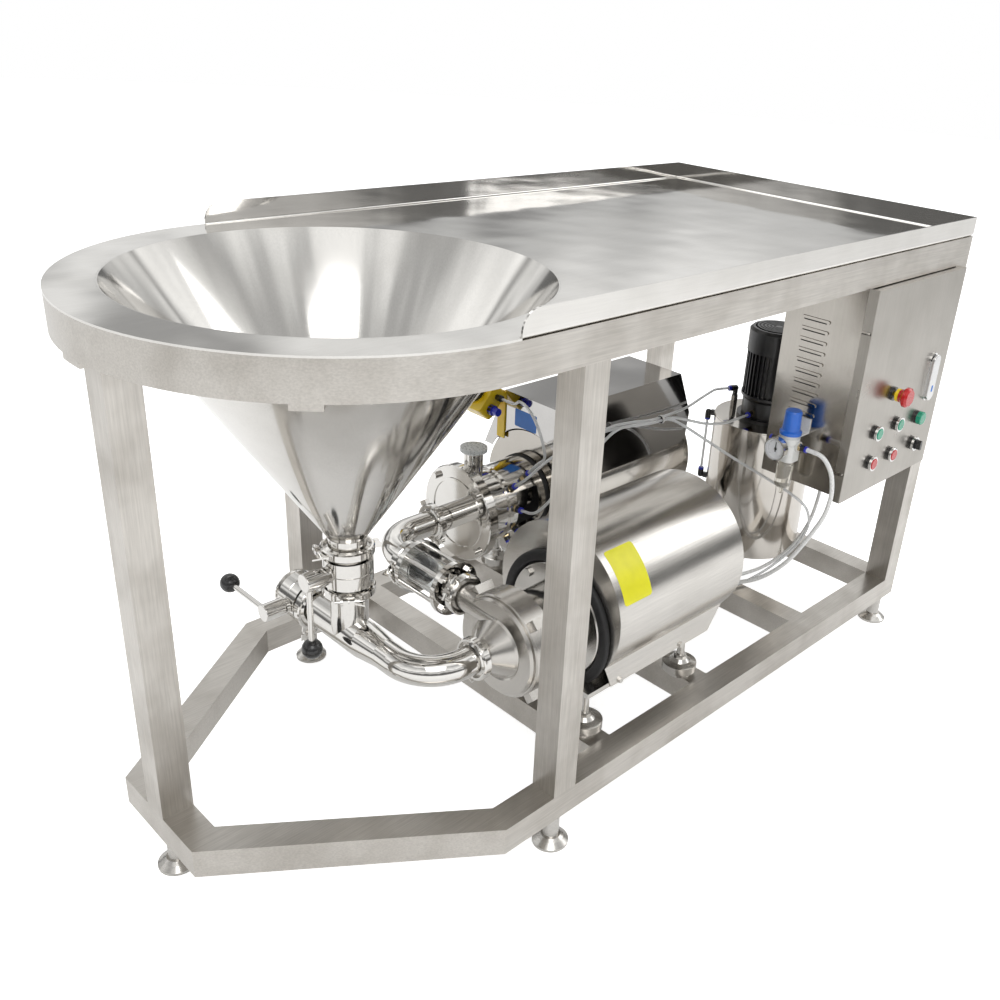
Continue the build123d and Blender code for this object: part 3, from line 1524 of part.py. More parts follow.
with BuildPart() as cabinet_door:
    with Locations(at(door_left, -door_face, door_bottom_z)):
        Box(door_width, door_depth, door_height, align=(Align.MIN, Align.MIN, Align.MIN))
    fillet(cabinet_door.edges().filter_by(Axis.Z).group_by(Axis.Y)[0], 1.5)
    with Locations(at(door_left + door_sheet, door_sheet - door_face, door_bottom_z + door_sheet)):
        Box(
            door_width - 2 * door_sheet,
            door_depth,
            door_height - 2 * door_sheet,
            align=(Align.MIN, Align.MIN, Align.MIN),
            mode=Mode.SUBTRACT,
        )
    with Locations(at(cabinet_right - 3, leg_clear - door_face, door_bottom_z)):
        Box(tube, door_depth, door_height, align=(Align.MIN, Align.MIN, Align.MIN), mode=Mode.SUBTRACT)
    for z in hinge_zs:
        with BuildSketch(level(hinge_x, hinge_y, z - hinge_knuckle)):
            Circle(hinge_pin + 2.4)
            with Locations((0, 0)):
                Rectangle(5, hinge_in_y - door_sheet, align=(Align.CENTER, Align.MAX))
        extrude(amount=hinge_knuckle - seat_gap)
        with BuildSketch(level(hinge_x, hinge_y, z - hinge_knuckle)):
            Circle(hinge_pin + shaft_gap)
        extrude(amount=hinge_knuckle, mode=Mode.SUBTRACT)
        with Locations(at(door_left, door_sheet - door_face, z - 1)):
            Box(
                2 * door_sheet,
                door_depth,
                hinge_arm + 2,
                align=(Align.CENTER, Align.MIN, Align.MIN),
                mode=Mode.SUBTRACT,
            )
    with BuildSketch(on_door(0, 0)):
        with Locations(*all_fittings):
            Circle(fitting_hole)
        with Locations(handle_top):
            Circle(6 + shaft_gap)
    extrude(amount=-2 * door_sheet, mode=Mode.SUBTRACT)
cabinet_door.part.label = "cabinet_door"
export_step(cabinet_door.part, "parts/cabinet_door.step")

# Black collars with their contact blocks behind the door, for buttons, selector and stop
block_depth = 34.0
with BuildPart() as door_collars:
    with BuildSketch(on_door(0, 0)):
        with Locations(*button_places.values(), selector_place, lamp_place):
            Circle(collar_radius)
    extrude(amount=collar_proud)
    with BuildSketch(on_door(0, 0)):
        with Locations(stop_place):
            Circle(collar_radius)
    extrude(amount=4)
    with BuildSketch(on_door(0, 0)):
        with Locations(*all_fittings):
            Circle(fitting_hole)
    extrude(amount=-door_sheet)
    with BuildSketch(on_door(0, 0, -door_sheet)):
        with Locations(*all_fittings):
            RectangleRounded(28, 36, 3)
    extrude(amount=-block_depth)
    with BuildSketch(on_door(0, 0, collar_proud)):
        with Locations(*button_places.values(), selector_place):
            Circle(cap_radius + seat_gap)
    extrude(amount=-press_travel - 1, mode=Mode.SUBTRACT)
    with BuildSketch(on_door(0, 0, collar_proud)):
        with Locations(*all_fittings):
            Circle(4 + shaft_gap)
    extrude(amount=-collar_proud - 20, mode=Mode.SUBTRACT)
door_collars.part.label = "door_collars"
export_step(door_collars.part, "parts/door_collars.step")

# Bright rings on the collars, and the handle's base plate
with BuildPart() as door_rings:
    with BuildSketch(on_door(0, 0, collar_proud)):
        with Locations(*button_places.values(), selector_place):
            Circle(ring_radius)
            Circle(cap_radius + seat_gap, mode=Mode.SUBTRACT)
    extrude(amount=ring_proud - collar_proud)
    chamfer(door_rings.faces().sort_by(Axis.Y)[0].edges().sort_by(SortBy.RADIUS)[-1:], 1.0)
    with BuildSketch(on_door(handle_top[0], handle_top[1] - handle_length / 2 + 14)):
        SlotOverall(handle_length + 4, 32, rotation=90)
        with Locations((0, handle_length / 2 - 14)):
            Circle(6 + shaft_gap, mode=Mode.SUBTRACT)
    extrude(amount=lever_plate)
door_rings.part.label = "door_rings"
export_step(door_rings.part, "parts/door_rings.step")

# Push buttons: a cap in its ring on a stem that runs in the collar
for name, (x, z) in button_places.items():
    with BuildPart() as button:
        with BuildSketch(on_door(x, z, collar_proud - seat_gap)):
            Circle(cap_radius)
        extrude(amount=cap_proud - collar_proud + seat_gap)
        fillet(button.faces().sort_by(Axis.Y)[0].edges(), 1.0)
        with BuildSketch(on_door(x, z, collar_proud)):
            Circle(4)
        extrude(amount=-collar_proud - 12)
    button.part.label = name
    export_step(button.part, f"parts/{name}.step")

with BuildPart() as lamp_lens:
    with BuildSketch(on_door(*lamp_place, collar_proud)):
        Circle(lamp_radius)
    extrude(amount=lamp_proud - collar_proud)
    fillet(lamp_lens.faces().sort_by(Axis.Y)[0].edges(), 2.5)
lamp_lens.part.label = "lamp_lens"
export_step(lamp_lens.part, "parts/lamp_lens.step")

with BuildPart() as selector_knob:
    with BuildSketch(on_door(*selector_place, collar_proud - seat_gap)):
        Circle(cap_radius)
    extrude(amount=ring_proud - collar_proud)
    with BuildSketch(on_door(*selector_place, collar_proud)):
        SlotOverall(2 * cap_radius - 2, 8, rotation=90)
    extrude(amount=ring_proud + 12 - collar_proud)
    with BuildSketch(on_door(*selector_place, collar_proud)):
        Circle(4)
    extrude(amount=-collar_proud - 12)
selector_knob.part.label = "selector_knob"
export_step(selector_knob.part, "parts/selector_knob.step")

# Emergency stop: the stem slides in the collar and the mushroom head turns on the stem
stop_stem_end = stop_neck_proud + 8
with BuildPart() as stop_stem:
    with BuildSketch(on_door(*stop_place, -14)):
        Circle(4)
    extrude(amount=14 + stop_stem_end)
    with BuildSketch(on_door(*stop_place, 4 + stop_travel + seat_gap)):
        Circle(13)
    extrude(amount=stop_neck_proud - 10 - stop_travel)
stop_stem.part.label = "stop_stem"
export_step(stop_stem.part, "parts/stop_stem.step")

with BuildPart() as stop_head:
    stop_line = along(at(stop_place[0], -door_face, stop_place[1]), FRONT)
    with BuildSketch(stop_line):
        Polygon(
            (stop_neck_proud - 5, 4 + shaft_gap),
            (stop_neck_proud - 5, 13),
            (stop_neck_proud, 14),
            (stop_neck_proud + 6, stop_head_radius),
            (stop_proud - 4, stop_head_radius),
            (stop_proud, stop_head_radius - 4),
            (stop_proud, 0),
            (stop_stem_end + seat_gap, 0),
            (stop_stem_end + seat_gap, 4 + shaft_gap),
            align=None,
        )
    revolve(axis=Axis(stop_line.origin, FRONT))
stop_head.part.label = "stop_head"
export_step(stop_head.part, "parts/stop_head.step")

# Swing handle: a hub that turns in the plate, and a lever that lifts about a pin in the hub
lever_back = lever_plate + seat_gap
tongue = 10.0
tongue_round = 2.5
lift_pin = 1.5
lift_pin_proud = 3.5
latch_reach = 25.0
latch_tail = 15.0
latch_height = 12.0
with BuildPart() as handle_hub:
    with BuildSketch(on_door(*handle_top, lever_back)):
        Circle(6)
    extrude(amount=-lever_back - 24)
    with BuildSketch(on_door(*handle_top, -24)):
        with Locations(((latch_reach - latch_tail) / 2, 0)):
            Rectangle(latch_reach + latch_tail, latch_height)
    extrude(amount=-3)
    with BuildSketch(facing_right(handle_top[0] - tongue / 2, -door_face - lever_back, handle_top[1])):
        Rectangle(lift_pin_proud, 2 * tongue_round, align=(Align.MAX, Align.CENTER))
        with Locations((-lift_pin_proud, 0)):
            Circle(tongue_round)
    extrude(amount=tongue)
    with BuildSketch(facing_right(handle_top[0] - 9, -door_face - lever_back - lift_pin_proud, handle_top[1])):
        Circle(lift_pin)
    extrude(amount=18)
handle_hub.part.label = "handle_hub"
export_step(handle_hub.part, "parts/handle_hub.step")

with BuildPart() as handle_lever:
    with BuildSketch(on_door(handle_top[0], handle_top[1] - handle_length / 2 + 14, lever_back)):
        SlotOverall(handle_length, 28, rotation=90)
    extrude(amount=lever_proud - lever_back)
    fillet(handle_lever.faces().sort_by(Axis.Y)[0].edges(), 2.0)
    with BuildSketch(facing_right(handle_top[0] - 20, -door_face - lever_back, handle_top[1])):
        Polygon((0, 0), (0, 16), (-4.4, 16), align=None)
    extrude(amount=40, mode=Mode.SUBTRACT)
    with BuildSketch(on_door(*handle_top, lever_back)):
        Rectangle(tongue + 2 * seat_gap, 16)
    extrude(amount=lift_pin_proud + tongue_round + seat_gap, mode=Mode.SUBTRACT)
    with BuildSketch(facing_right(handle_top[0] - 9.5, -door_face - lever_back - lift_pin_proud, handle_top[1])):
        Circle(lift_pin + shaft_gap)
    extrude(amount=19, mode=Mode.SUBTRACT)
handle_lever.part.label = "handle_lever"
export_step(handle_lever.part, "parts/handle_lever.step")

# Filter regulator: body with ports front and back, bracket, bowl, knob and gauge
reg_half = 20.0
reg_bonnet = 21.0
gauge_radius = 23.5
reg_top = regulator_z + 24
reg_bottom = regulator_z - 24
port_z = regulator_z + 9
with BuildPart() as regulator_body:
    with BuildSketch(level(regulator_x, regulator_y, reg_bottom)):
        RectangleRounded(2 * reg_half, 2 * reg_half, 12)
    extrude(amount=reg_top - reg_bottom - 14)
    with BuildSketch(level(regulator_x, regulator_y, reg_top - 14)):
        Circle(reg_bonnet)
    extrude(amount=14)
    with BuildSketch(level(regulator_x, regulator_y, reg_top)):
        Circle(19)
    extrude(amount=6)
    with BuildSketch(Plane(origin=at(regulator_x, regulator_y - reg_half - 4, port_z), z_dir=BACK)):
        Circle(11)
    extrude(amount=2 * reg_half + 8)
    with BuildSketch(Plane(origin=at(regulator_x - reg_half, regulator_y + 7, regulator_z + 4), z_dir=LEFT)):
        Circle(8)
    extrude(amount=4)
    with BuildSketch(level(0, 0, reg_top + 1)):
        with Locations(((regulator_x + cabinet_left) / 2, regulator_y)):
            Rectangle(cabinet_left - regulator_x, 34)
    extrude(amount=3)
    with Locations(at(cabinet_left, regulator_y, reg_top + 1)):
        Box(3, 34, 30, align=(Align.MAX, Align.CENTER, Align.MIN))
regulator_body.part.label = "regulator_body"
export_step(regulator_body.part, "parts/regulator_body.step")

reg_line = along(at(regulator_x, regulator_y, 0), UP)
reg_axis = Axis(reg_line.origin, UP)
with BuildPart() as regulator_bowl:
    with BuildSketch(reg_line):
        Polygon(
            (reg_bottom, 0),
            (reg_bottom, 15),
            (reg_bottom - 8, 15),
            (reg_bottom - 10, 16.5),
            (reg_bottom - 55, 16),
            (reg_bottom - 59, 12),
            (reg_bottom - 61, 5),
            (reg_bottom - 74, 4),
            (reg_bottom - 74, 0),
            align=None,
        )
    revolve(axis=reg_axis)
regulator_bowl.part.label = "regulator_bowl"
export_step(regulator_bowl.part, "parts/regulator_bowl.step")

knob_base = reg_top + 6 + seat_gap
knob_top = regulator_z + 79
with BuildPart() as regulator_knob:
    with BuildSketch(reg_line):
        Polygon(
            (knob_base, 0),
            (knob_base, 22),
            (knob_base + 6, 22),
            (knob_base + 9, 18),
            (knob_top - 3, 16.5),
            (knob_top, 14.5),
            (knob_top, 0),
            align=None,
        )
    revolve(axis=reg_axis)
    with BuildSketch(level(regulator_x, regulator_y, knob_base + 14)):
        with PolarLocations(19.5, 16):
            Circle(2)
    extrude(amount=26, mode=Mode.SUBTRACT)
regulator_knob.part.label = "regulator_knob"
export_step(regulator_knob.part, "parts/regulator_knob.step")

# Gauge: an open case with its dial, a pivot post and the needle; the glass is left thin
gauge_back_x = regulator_x - reg_half - 4
gauge_origin = at(0, regulator_y + 7, regulator_z + 4)
gauge_line = along((hopper_x + gauge_back_x, gauge_origin[1], gauge_origin[2]), LEFT)
gauge_axis = Axis(gauge_line.origin, LEFT)
with BuildPart() as gauge_case:
    with BuildSketch(gauge_line):
        Polygon(
            (0, 0),
            (0, gauge_radius - 4),
            (3, gauge_radius),
            (16, gauge_radius),
            (16, gauge_radius - 2.5),
            (10, gauge_radius - 2.5),
            (10, 1.2),
            (14, 1.2),
            (14, 0),
            align=None,
        )
    revolve(axis=gauge_axis)
gauge_case.part.label = "gauge"
export_step(gauge_case.part, "parts/gauge.step")

with BuildPart() as gauge_needle:
    with BuildSketch(Plane(origin=gauge_line.origin, x_dir=FRONT, z_dir=LEFT).offset(11)):
        Circle(3)
        Polygon((-1.2, -6), (1.2, -6), (0.4, 15), (-0.4, 15), align=None, rotation=0)
        Circle(1.2 + shaft_gap, mode=Mode.SUBTRACT)
    extrude(amount=1.2)
gauge_needle.part.label = "gauge_needle"
export_step(gauge_needle.part, "parts/gauge_needle.step")

# Isolator box: a case with rounded corners tilted towards the operator, and its bent bracket
switch_tilt = 49.0
switch_dial_radius = 22.0
switch_plane = Plane(origin=at(switch_x, switch_y, switch_z)).rotated((0, -switch_tilt, 0))
bracket_width = 22.0
bracket_near_y = 228.0
with BuildPart() as switch_case:
    with BuildSketch(switch_plane.offset(-switch_depth / 2)):
        RectangleRounded(switch_size, switch_size, 8)
    extrude(amount=switch_depth)
    fillet(switch_case.edges().group_by(SortBy.LENGTH)[-1], 1.5)
    with BuildSketch(switch_plane.offset(switch_depth / 2)):
        Circle(switch_dial_radius + 2)
    extrude(amount=3)
with BuildPart() as switch_bracket:
    with BuildSketch(facing_front(0, bracket_near_y, 0)):
        Polygon(
            (hood_front_x, 440),
            (hood_front_x, 546),
            (516, 498),
            (518, 495),
            (hood_front_x - 3, 537),
            (hood_front_x - 3, 440),
            align=None,
        )
    extrude(amount=-bracket_width)
switch_box = Compound(
    label="switch_box",
    children=[switch_case.part, switch_bracket.part - switch_case.part],
)
export_step(switch_box, "parts/switch_box.step")

with BuildPart() as switch_dial:
    with BuildSketch(switch_plane.offset(switch_depth / 2 + 3 + seat_gap)):
        Circle(switch_dial_radius)
    extrude(amount=6)
    with BuildSketch(switch_plane.offset(switch_depth / 2 + 9)):
        SlotOverall(2 * switch_dial_radius - 4, 12, rotation=90)
    extrude(amount=10)
    fillet(switch_dial.faces().sort_by(SortBy.DISTANCE)[-1:].edges(), 1)
switch_dial.part.label = "switch_dial"
export_step(switch_dial.part, "parts/switch_dial.step")

# Push-in fittings: a threaded stub, a black body and a collar that grips the tube
head_port_x = head_drum_end + 15
pump_port_x = 238.0
fitting_radius = 6.0
fitting_length = 18.0
zip_point = (768.0, -20.0, 512.0)
bundle_step = 3.5


def radial(angle):
    """A direction square to a horizontal shaft, from the operator's side upwards."""
    return (0, -math.cos(math.radians(angle)), math.sin(math.radians(angle)))


def away(origin, direction, distance):
    """The point at a distance from an origin."""
    return tuple(o + d * distance for o, d in zip(origin, direction))


def fitting(base, direction, bore):
    """A straight push-in fitting that stands on a wall."""
    line = along(at(*base), direction)
    with BuildPart() as piece:
        with BuildSketch(line):
            Polygon(
                (0, bore),
                (0, fitting_radius),
                (6, fitting_radius),
                (6, fitting_radius + 1),
                (fitting_length - 4, fitting_radius + 1),
                (fitting_length - 4, fitting_radius - 0.5),
                (fitting_length, fitting_radius - 0.5),
                (fitting_length, bore),
                align=None,
            )
        revolve(axis=Axis(line.origin, direction))
    return piece.part


def elbow_fitting(base, direction, turned, stub):
    """A push-in fitting whose body turns a right angle above its stub."""
    corner = away(base, direction, stub)
    with BuildPart() as piece:
        with BuildSketch(Plane(origin=at(*base), z_dir=direction)):
            Circle(fitting_radius)
        extrude(amount=stub)
        with BuildSketch(Plane(origin=at(*base), z_dir=direction)):
            RegularPolygon(fitting_radius + 1.5, 6)
        extrude(amount=stub * 0.6)
        with Locations(at(*corner)):
            Sphere(fitting_radius + 1)
        with BuildSketch(Plane(origin=at(*corner), z_dir=turned)):
            Circle(fitting_radius + 1)
        extrude(amount=fitting_length - 4)
        with BuildSketch(Plane(origin=at(*corner), z_dir=turned)):
            Circle(fitting_radius - 0.5)
        extrude(amount=fitting_length)
    return piece.part


head_ports = {}
for port, angle in (("down", 40), ("top", 8), ("block", -24), ("air", -50)):
    base = away((head_port_x, head_y, head_z), radial(angle), head_drum_radius)
    head_ports[port] = (base, radial(angle))
sensor_base = away((502, head_y, head_z), radial(50), head_drum_radius)
pump_base = away((pump_port_x, pump_y, pump_z), (0, 0.643, -0.766), lantern_radius)
tank_port = (1136.0, 46.0, tank_top_z)
tank_port_stub = 45.0
tank_port_turn = (-0.9, 0.436, 0)
block_port = (tank_x - tank_motor_radius + 6, tank_y + 1, 460.0)
level_x = 1079.0
level_y = 76.0
level_tops = (428.0, 265.0)
level_angle = math.atan2(level_y - tank_y, level_x - tank_x)
level_out = (math.cos(level_angle), math.sin(level_angle), 0)
regulator_port = (regulator_x, regulator_y - reg_half - 4, port_z)
supply_port = (regulator_x, regulator_y + reg_half + 4, port_z)
box_port = (switch_x + 10, switch_y - switch_size / 2, 539.0)
box_gland = (switch_x - 6, switch_y - switch_size / 2, 515.0)
cabinet_gland = (cabinet_left + 225, 142.5 - cabinet_front, cabinet_bottom_z)
motor_gland = away((775, head_y, head_z), radial(-30), rear_motor_radius)

fitting_pieces = [fitting(base, direction, 0.8) for base, direction in head_ports.values()]
fitting_pieces.append(fitting(sensor_base, radial(50), 0.8))
fitting_pieces.append(fitting(pump_base, (0, 0.643, -0.766), 0.8))
fitting_pieces.append(fitting(block_port, LEFT, 0.8))
fitting_pieces.append(fitting(regulator_port, FRONT, 0.8))
fitting_pieces.append(fitting(supply_port, BACK, clear_tube / 2))
fitting_pieces.append(fitting(box_port, FRONT, 0.8))
fitting_pieces.append(fitting(cabinet_gland, DOWN, 0.8))
fitting_pieces.append(fitting(motor_gland, radial(-30), 0.8))
fitting_pieces.append(elbow_fitting(tank_port, UP, tank_port_turn, tank_port_stub))
with BuildPart() as tank_outside:
    with BuildSketch(level(tank_x, tank_y, rail_top)):
        Circle(tank_radius)
    extrude(amount=tank_top_z - rail_top)
for level_z, turned in zip(level_tops, (DOWN, UP)):
    level_reach = math.hypot(level_x - tank_x, level_y - tank_y)
    base = away((tank_x, tank_y, level_z), level_out, tank_radius - 2)
    elbow = elbow_fitting(base, level_out, turned, level_reach - tank_radius + 2)
    fitting_pieces.append(elbow - tank_outside.part)
with BuildPart() as blue_gland:
    with BuildSketch(Plane(origin=at(*box_gland), z_dir=FRONT)):
        Circle(11)
    extrude(amount=10)
    with BuildSketch(Plane(origin=at(*box_gland), z_dir=FRONT)):
        Circle(8)
    extrude(amount=24)
fitting_pieces.append(blue_gland.part)
with BuildPart() as tube_tie:
    with BuildSketch(Plane(origin=at(zip_point[0] - 2, zip_point[1] - 2, zip_point[2]), z_dir=RIGHT)):
        Circle(8.8)
    extrude(amount=4)
    with BuildSketch(Plane(origin=at(zip_point[0] - 2, zip_point[1], zip_point[2]), x_dir=BACK, z_dir=RIGHT)):
        with Locations((0, bundle_step), (0, -bundle_step), (-6.1, 0)):
            Circle(clear_tube / 2)
    extrude(amount=4, mode=Mode.SUBTRACT)
fitting_pieces.append(tube_tie.part)
tube_fittings = Compound(label="tube_fittings", children=fitting_pieces)
export_step(tube_fittings, "parts/tube_fittings.step")


# Hoses: straight runs joined by arcs as wide as the runs allow
def hose(name, diameter, start, heading, points, end, arriving):
    """A hose that leaves its first fitting along heading and meets the last one along arriving."""
    first = away(start, heading, fitting_length)
    last = away(end, arriving, fitting_length)
    lead = 36
    corners = [Vector(*at(*p)) for p in (first, away(first, heading, lead), *points, away(last, arriving, lead), last)]
    radii = []
    for before, corner, after in zip(corners, corners[1:], corners[2:]):
        half_turn = math.radians((corner - before).get_angle(after - corner)) / 2
        shorter = min((corner - before).length, (after - corner).length)
        radii.append(0.45 * shorter / math.tan(half_turn))
    with BuildPart() as piece:
        with BuildLine() as route:
            FilletPolyline(*corners, radius=radii)
        with BuildSketch(Plane(origin=route.line @ 0, z_dir=route.line % 0)):
            Circle(diameter / 2)
        sweep()
    section = math.pi * diameter**2 / 4
    length = sum(edge.length for edge in route.edges())
    share = piece.part.volume / section / length
    print(f"{name}: length {length:.0f}, share {share:.4f}, radii", [round(r) for r in radii])
    return piece.part


def in_bundle(x, z, place):
    """A point on one of the three tubes of the bundle."""
    side, rise = place
    return (x, zip_point[1] + side, z + rise)


top_place = (0, bundle_step)
down_place = (0, -bundle_step)
block_place = (-6.1, 0)
clear_pieces = [
    hose(
        "tank top",
        clear_tube,
        *head_ports["top"],
        [
            (466, -2, 402),
            (492, -20, 462),
            in_bundle(545, 513, top_place),
            in_bundle(608, 531, top_place),
            in_bundle(680, 523, top_place),
            in_bundle(738, 512, top_place),
            in_bundle(798, 512, top_place),
            (905, 14, 496),
            (1010, 46, 491),
        ],
        away(tank_port, UP, tank_port_stub),
        tank_port_turn,
    ),
    hose(
        "pump block",
        clear_tube,
        *head_ports["block"],
        [
            (462, -10, 330),
            (478, -32, 395),
            (515, -38, 462),
            (570, -34, 512),
            in_bundle(625, 528, block_place),
            in_bundle(682, 522, block_place),
            in_bundle(738, 512, block_place),
            in_bundle(798, 512, block_place),
            (860, -27, 490),
            (925, -29, 466),
            (988, -36, 455),
        ],
        block_port,
        LEFT,
    ),
    hose(
        "down to the feed pump",
        clear_tube,
        *head_ports["down"],
        [
            (482, 22, 482),
            (532, -10, 519),
            in_bundle(605, 531, down_place),
            in_bundle(680, 522, down_place),
            in_bundle(738, 512, down_place),
            in_bundle(798, 512, down_place),
            (846, -32, 480),
            (888, -62, 447),
            (925, -115, 412),
            (958, -175, 382),
            (995, -225, 350),
            (1036, -250, 312),
            (1060, -250, 258),
            (1052, -230, 200),
            (1010, -203, 152),
            (940, -182, 127),
            (855, -165, 126),
            (775, -112, 127),
            (700, -68, 126),
            (620, -44, 127),
            (540, -36, 128),
            (455, -36, 145),
            (378, -44, 180),
            (308, -62, 196),
        ],
        pump_base,
        (0, 0.643, -0.766),
    ),
    hose(
        "isolator",
        clear_tube,
        box_port,
        FRONT,
        [(504, 130, 566), (488, 80, 560), (484, 46, 522), (494, 40, 472)],
        sensor_base,
        radial(50),
    ),
]
with BuildPart() as level_tube:
    with BuildSketch(level(level_x, level_y, level_tops[1] + fitting_length)):
        Circle(clear_tube / 2)
    extrude(amount=level_tops[0] - level_tops[1] - 2 * fitting_length)
clear_pieces.append(level_tube.part)
clear_tubes = Compound(label="clear_tubes", children=clear_pieces)
export_step(clear_tubes, "parts/clear_tubes.step")

white_pieces = [
    hose(
        "air",
        white_hose,
        regulator_port,
        FRONT,
        [
            (842, -390, 502),
            (852, -395, 455),
            (857, -386, 402),
            (860, -356, 335),
            (860, -318, 262),
            (858, -262, 200),
            (845, -195, 163),
            (805, -130, 148),
            (740, -78, 144),
            (662, -44, 142),
            (585, -28, 141),
            (515, -10, 158),
        ],
        *head_ports["air"],
    ),
    hose(
        "cabinet cable",
        white_cable,
        cabinet_gland,
        DOWN,
        [
            (1106, -236, 315),
            (1102, -226, 240),
            (1072, -206, 175),
            (1010, -180, 138),
            (935, -158, 133),
            (862, -132, 134),
            (802, -84, 152),
            (778, -48, 200),
        ],
        motor_gland,
        radial(-30),
    ),
]
white_hoses = Compound(label="white_hoses", children=white_pieces)
export_step(white_hoses, "parts/white_hoses.step")
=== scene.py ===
import math

import bmesh
import bpy
from mathutils import Matrix, Vector


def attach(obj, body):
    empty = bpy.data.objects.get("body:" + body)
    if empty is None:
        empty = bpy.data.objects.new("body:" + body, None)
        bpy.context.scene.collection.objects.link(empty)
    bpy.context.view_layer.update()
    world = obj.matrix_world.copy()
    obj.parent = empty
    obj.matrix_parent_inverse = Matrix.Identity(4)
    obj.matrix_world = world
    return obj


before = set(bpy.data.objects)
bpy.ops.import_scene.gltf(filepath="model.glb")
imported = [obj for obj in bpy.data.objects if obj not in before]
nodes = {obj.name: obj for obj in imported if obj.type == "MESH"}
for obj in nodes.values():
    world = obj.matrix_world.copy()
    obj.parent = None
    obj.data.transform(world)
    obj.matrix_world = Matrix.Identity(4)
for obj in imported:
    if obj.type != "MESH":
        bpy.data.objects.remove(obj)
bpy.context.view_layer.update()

# Places taken over from the model, in metres
HOPPER_X = -0.4408
TABLE_Y = 0.02265
MM = 0.001

# Directions: along the table, up, and towards the operator
ALONG = Vector((1, 0, 0))
UP = Vector((0, 0, 1))
FORWARDS = Vector((0, -1, 0))


def at(x, y, z):
    """A point measured in millimetres from the hopper's axis."""
    return Vector((x * MM + HOPPER_X, y * MM + TABLE_Y, z * MM))


# Node helpers for materials
def new_material(name, colour, metallic, roughness):
    """A material with its principled shader."""
    material = bpy.data.materials.new(name)
    material.use_nodes = True
    shader = material.node_tree.nodes["Principled BSDF"]
    shader.inputs["Base Color"].default_value = (*colour, 1)
    shader.inputs["Metallic"].default_value = metallic
    shader.inputs["Roughness"].default_value = roughness
    return material, shader


def object_noise(tree, stretch, detail=4.0, roughness=0.5):
    """Noise in object space, stretched along the axes."""
    place = tree.nodes.new("ShaderNodeTexCoord")
    mapping = tree.nodes.new("ShaderNodeMapping")
    mapping.inputs["Scale"].default_value = stretch
    noise = tree.nodes.new("ShaderNodeTexNoise")
    noise.inputs["Scale"].default_value = 1.0
    noise.inputs["Detail"].default_value = detail
    noise.inputs["Roughness"].default_value = roughness
    tree.links.new(place.outputs["Object"], mapping.inputs["Vector"])
    tree.links.new(mapping.outputs["Vector"], noise.inputs["Vector"])
    return noise.outputs["Fac"]


def ranged(tree, source, low, high, start=0.3, end=0.7):
    """The source's middle values spread over a new range."""
    node = tree.nodes.new("ShaderNodeMapRange")
    node.inputs["From Min"].default_value = start
    node.inputs["From Max"].default_value = end
    node.inputs["To Min"].default_value = low
    node.inputs["To Max"].default_value = high
    tree.links.new(source, node.inputs["Value"])
    return node.outputs["Result"]


def mixed(tree, factor, dark, light):
    """A colour between two, by a factor."""
    node = tree.nodes.new("ShaderNodeMix")
    node.data_type = "RGBA"
    node.inputs["A"].default_value = (*dark, 1)
    node.inputs["B"].default_value = (*light, 1)
    tree.links.new(factor, node.inputs["Factor"])
    return node.outputs["Result"]


def dulled(tree, factor, colour, tint):
    """A colour with a tint multiplied in, by a factor."""
    node = tree.nodes.new("ShaderNodeMix")
    node.data_type = "RGBA"
    node.blend_type = "MULTIPLY"
    node.inputs["B"].default_value = (*tint, 1)
    tree.links.new(factor, node.inputs["Factor"])
    tree.links.new(colour, node.inputs["A"])
    return node.outputs["Result"]


def bumped(tree, shader, height, strength, distance):
    """Bump from a height."""
    bump = tree.nodes.new("ShaderNodeBump")
    bump.inputs["Strength"].default_value = strength
    bump.inputs["Distance"].default_value = distance
    tree.links.new(height, bump.inputs["Height"])
    tree.links.new(bump.outputs["Normal"], shader.inputs["Normal"])


# Relief as strength and distance, clouds and grain as scales of noise
POLISH_TINT = (0.62, 0.6, 0.57)
POLISH_CLOUDS = (9, 9, 9)
POLISH_RANGE = (0.42, 0.72)
SHEET_RELIEF = (0.25, 0.004)
STEEL_RELIEF = (0.06, 0.0004)
PLASTIC_RELIEF = (0.05, 0.0002)
PLASTIC_CLOUDS = (40, 40, 40)
PLASTIC_SHADE = 0.9
COAT_ROUGHNESS = 0.08
CLEAR_GRAIN = (200, 200, 200)
CLEAR_IOR = 1.45


def steel(name, colour, roughness, stretch, shade=0.07, wave=None, spread=0.08, patches=0.1):
    """Stainless steel with a grain along the direction of least stretch, and cloudy polish.

    A wave gives thin sheet its slow dents instead of the grain's relief.
    """
    material, shader = new_material(name, colour, 1.0, roughness)
    tree = material.node_tree
    lines = object_noise(tree, stretch, 3.0, 0.6)
    clouds = object_noise(tree, POLISH_CLOUDS, 3.0, 0.55)
    dark = tuple(c * (1 - shade) for c in colour)
    light = tuple(min(1, c * (1 + shade)) for c in colour)
    grain = mixed(tree, ranged(tree, lines, 0, 1), dark, light)
    cover = ranged(tree, clouds, 0, 4 * patches, *POLISH_RANGE)
    tree.links.new(dulled(tree, cover, grain, POLISH_TINT), shader.inputs["Base Color"])
    tree.links.new(
        ranged(tree, clouds, roughness - spread / 2, roughness + spread / 2),
        shader.inputs["Roughness"],
    )
    if wave:
        bumped(tree, shader, object_noise(tree, (wave, wave, wave), 1.0, 0.4), *SHEET_RELIEF)
    else:
        bumped(tree, shader, lines, *STEEL_RELIEF)
    return material


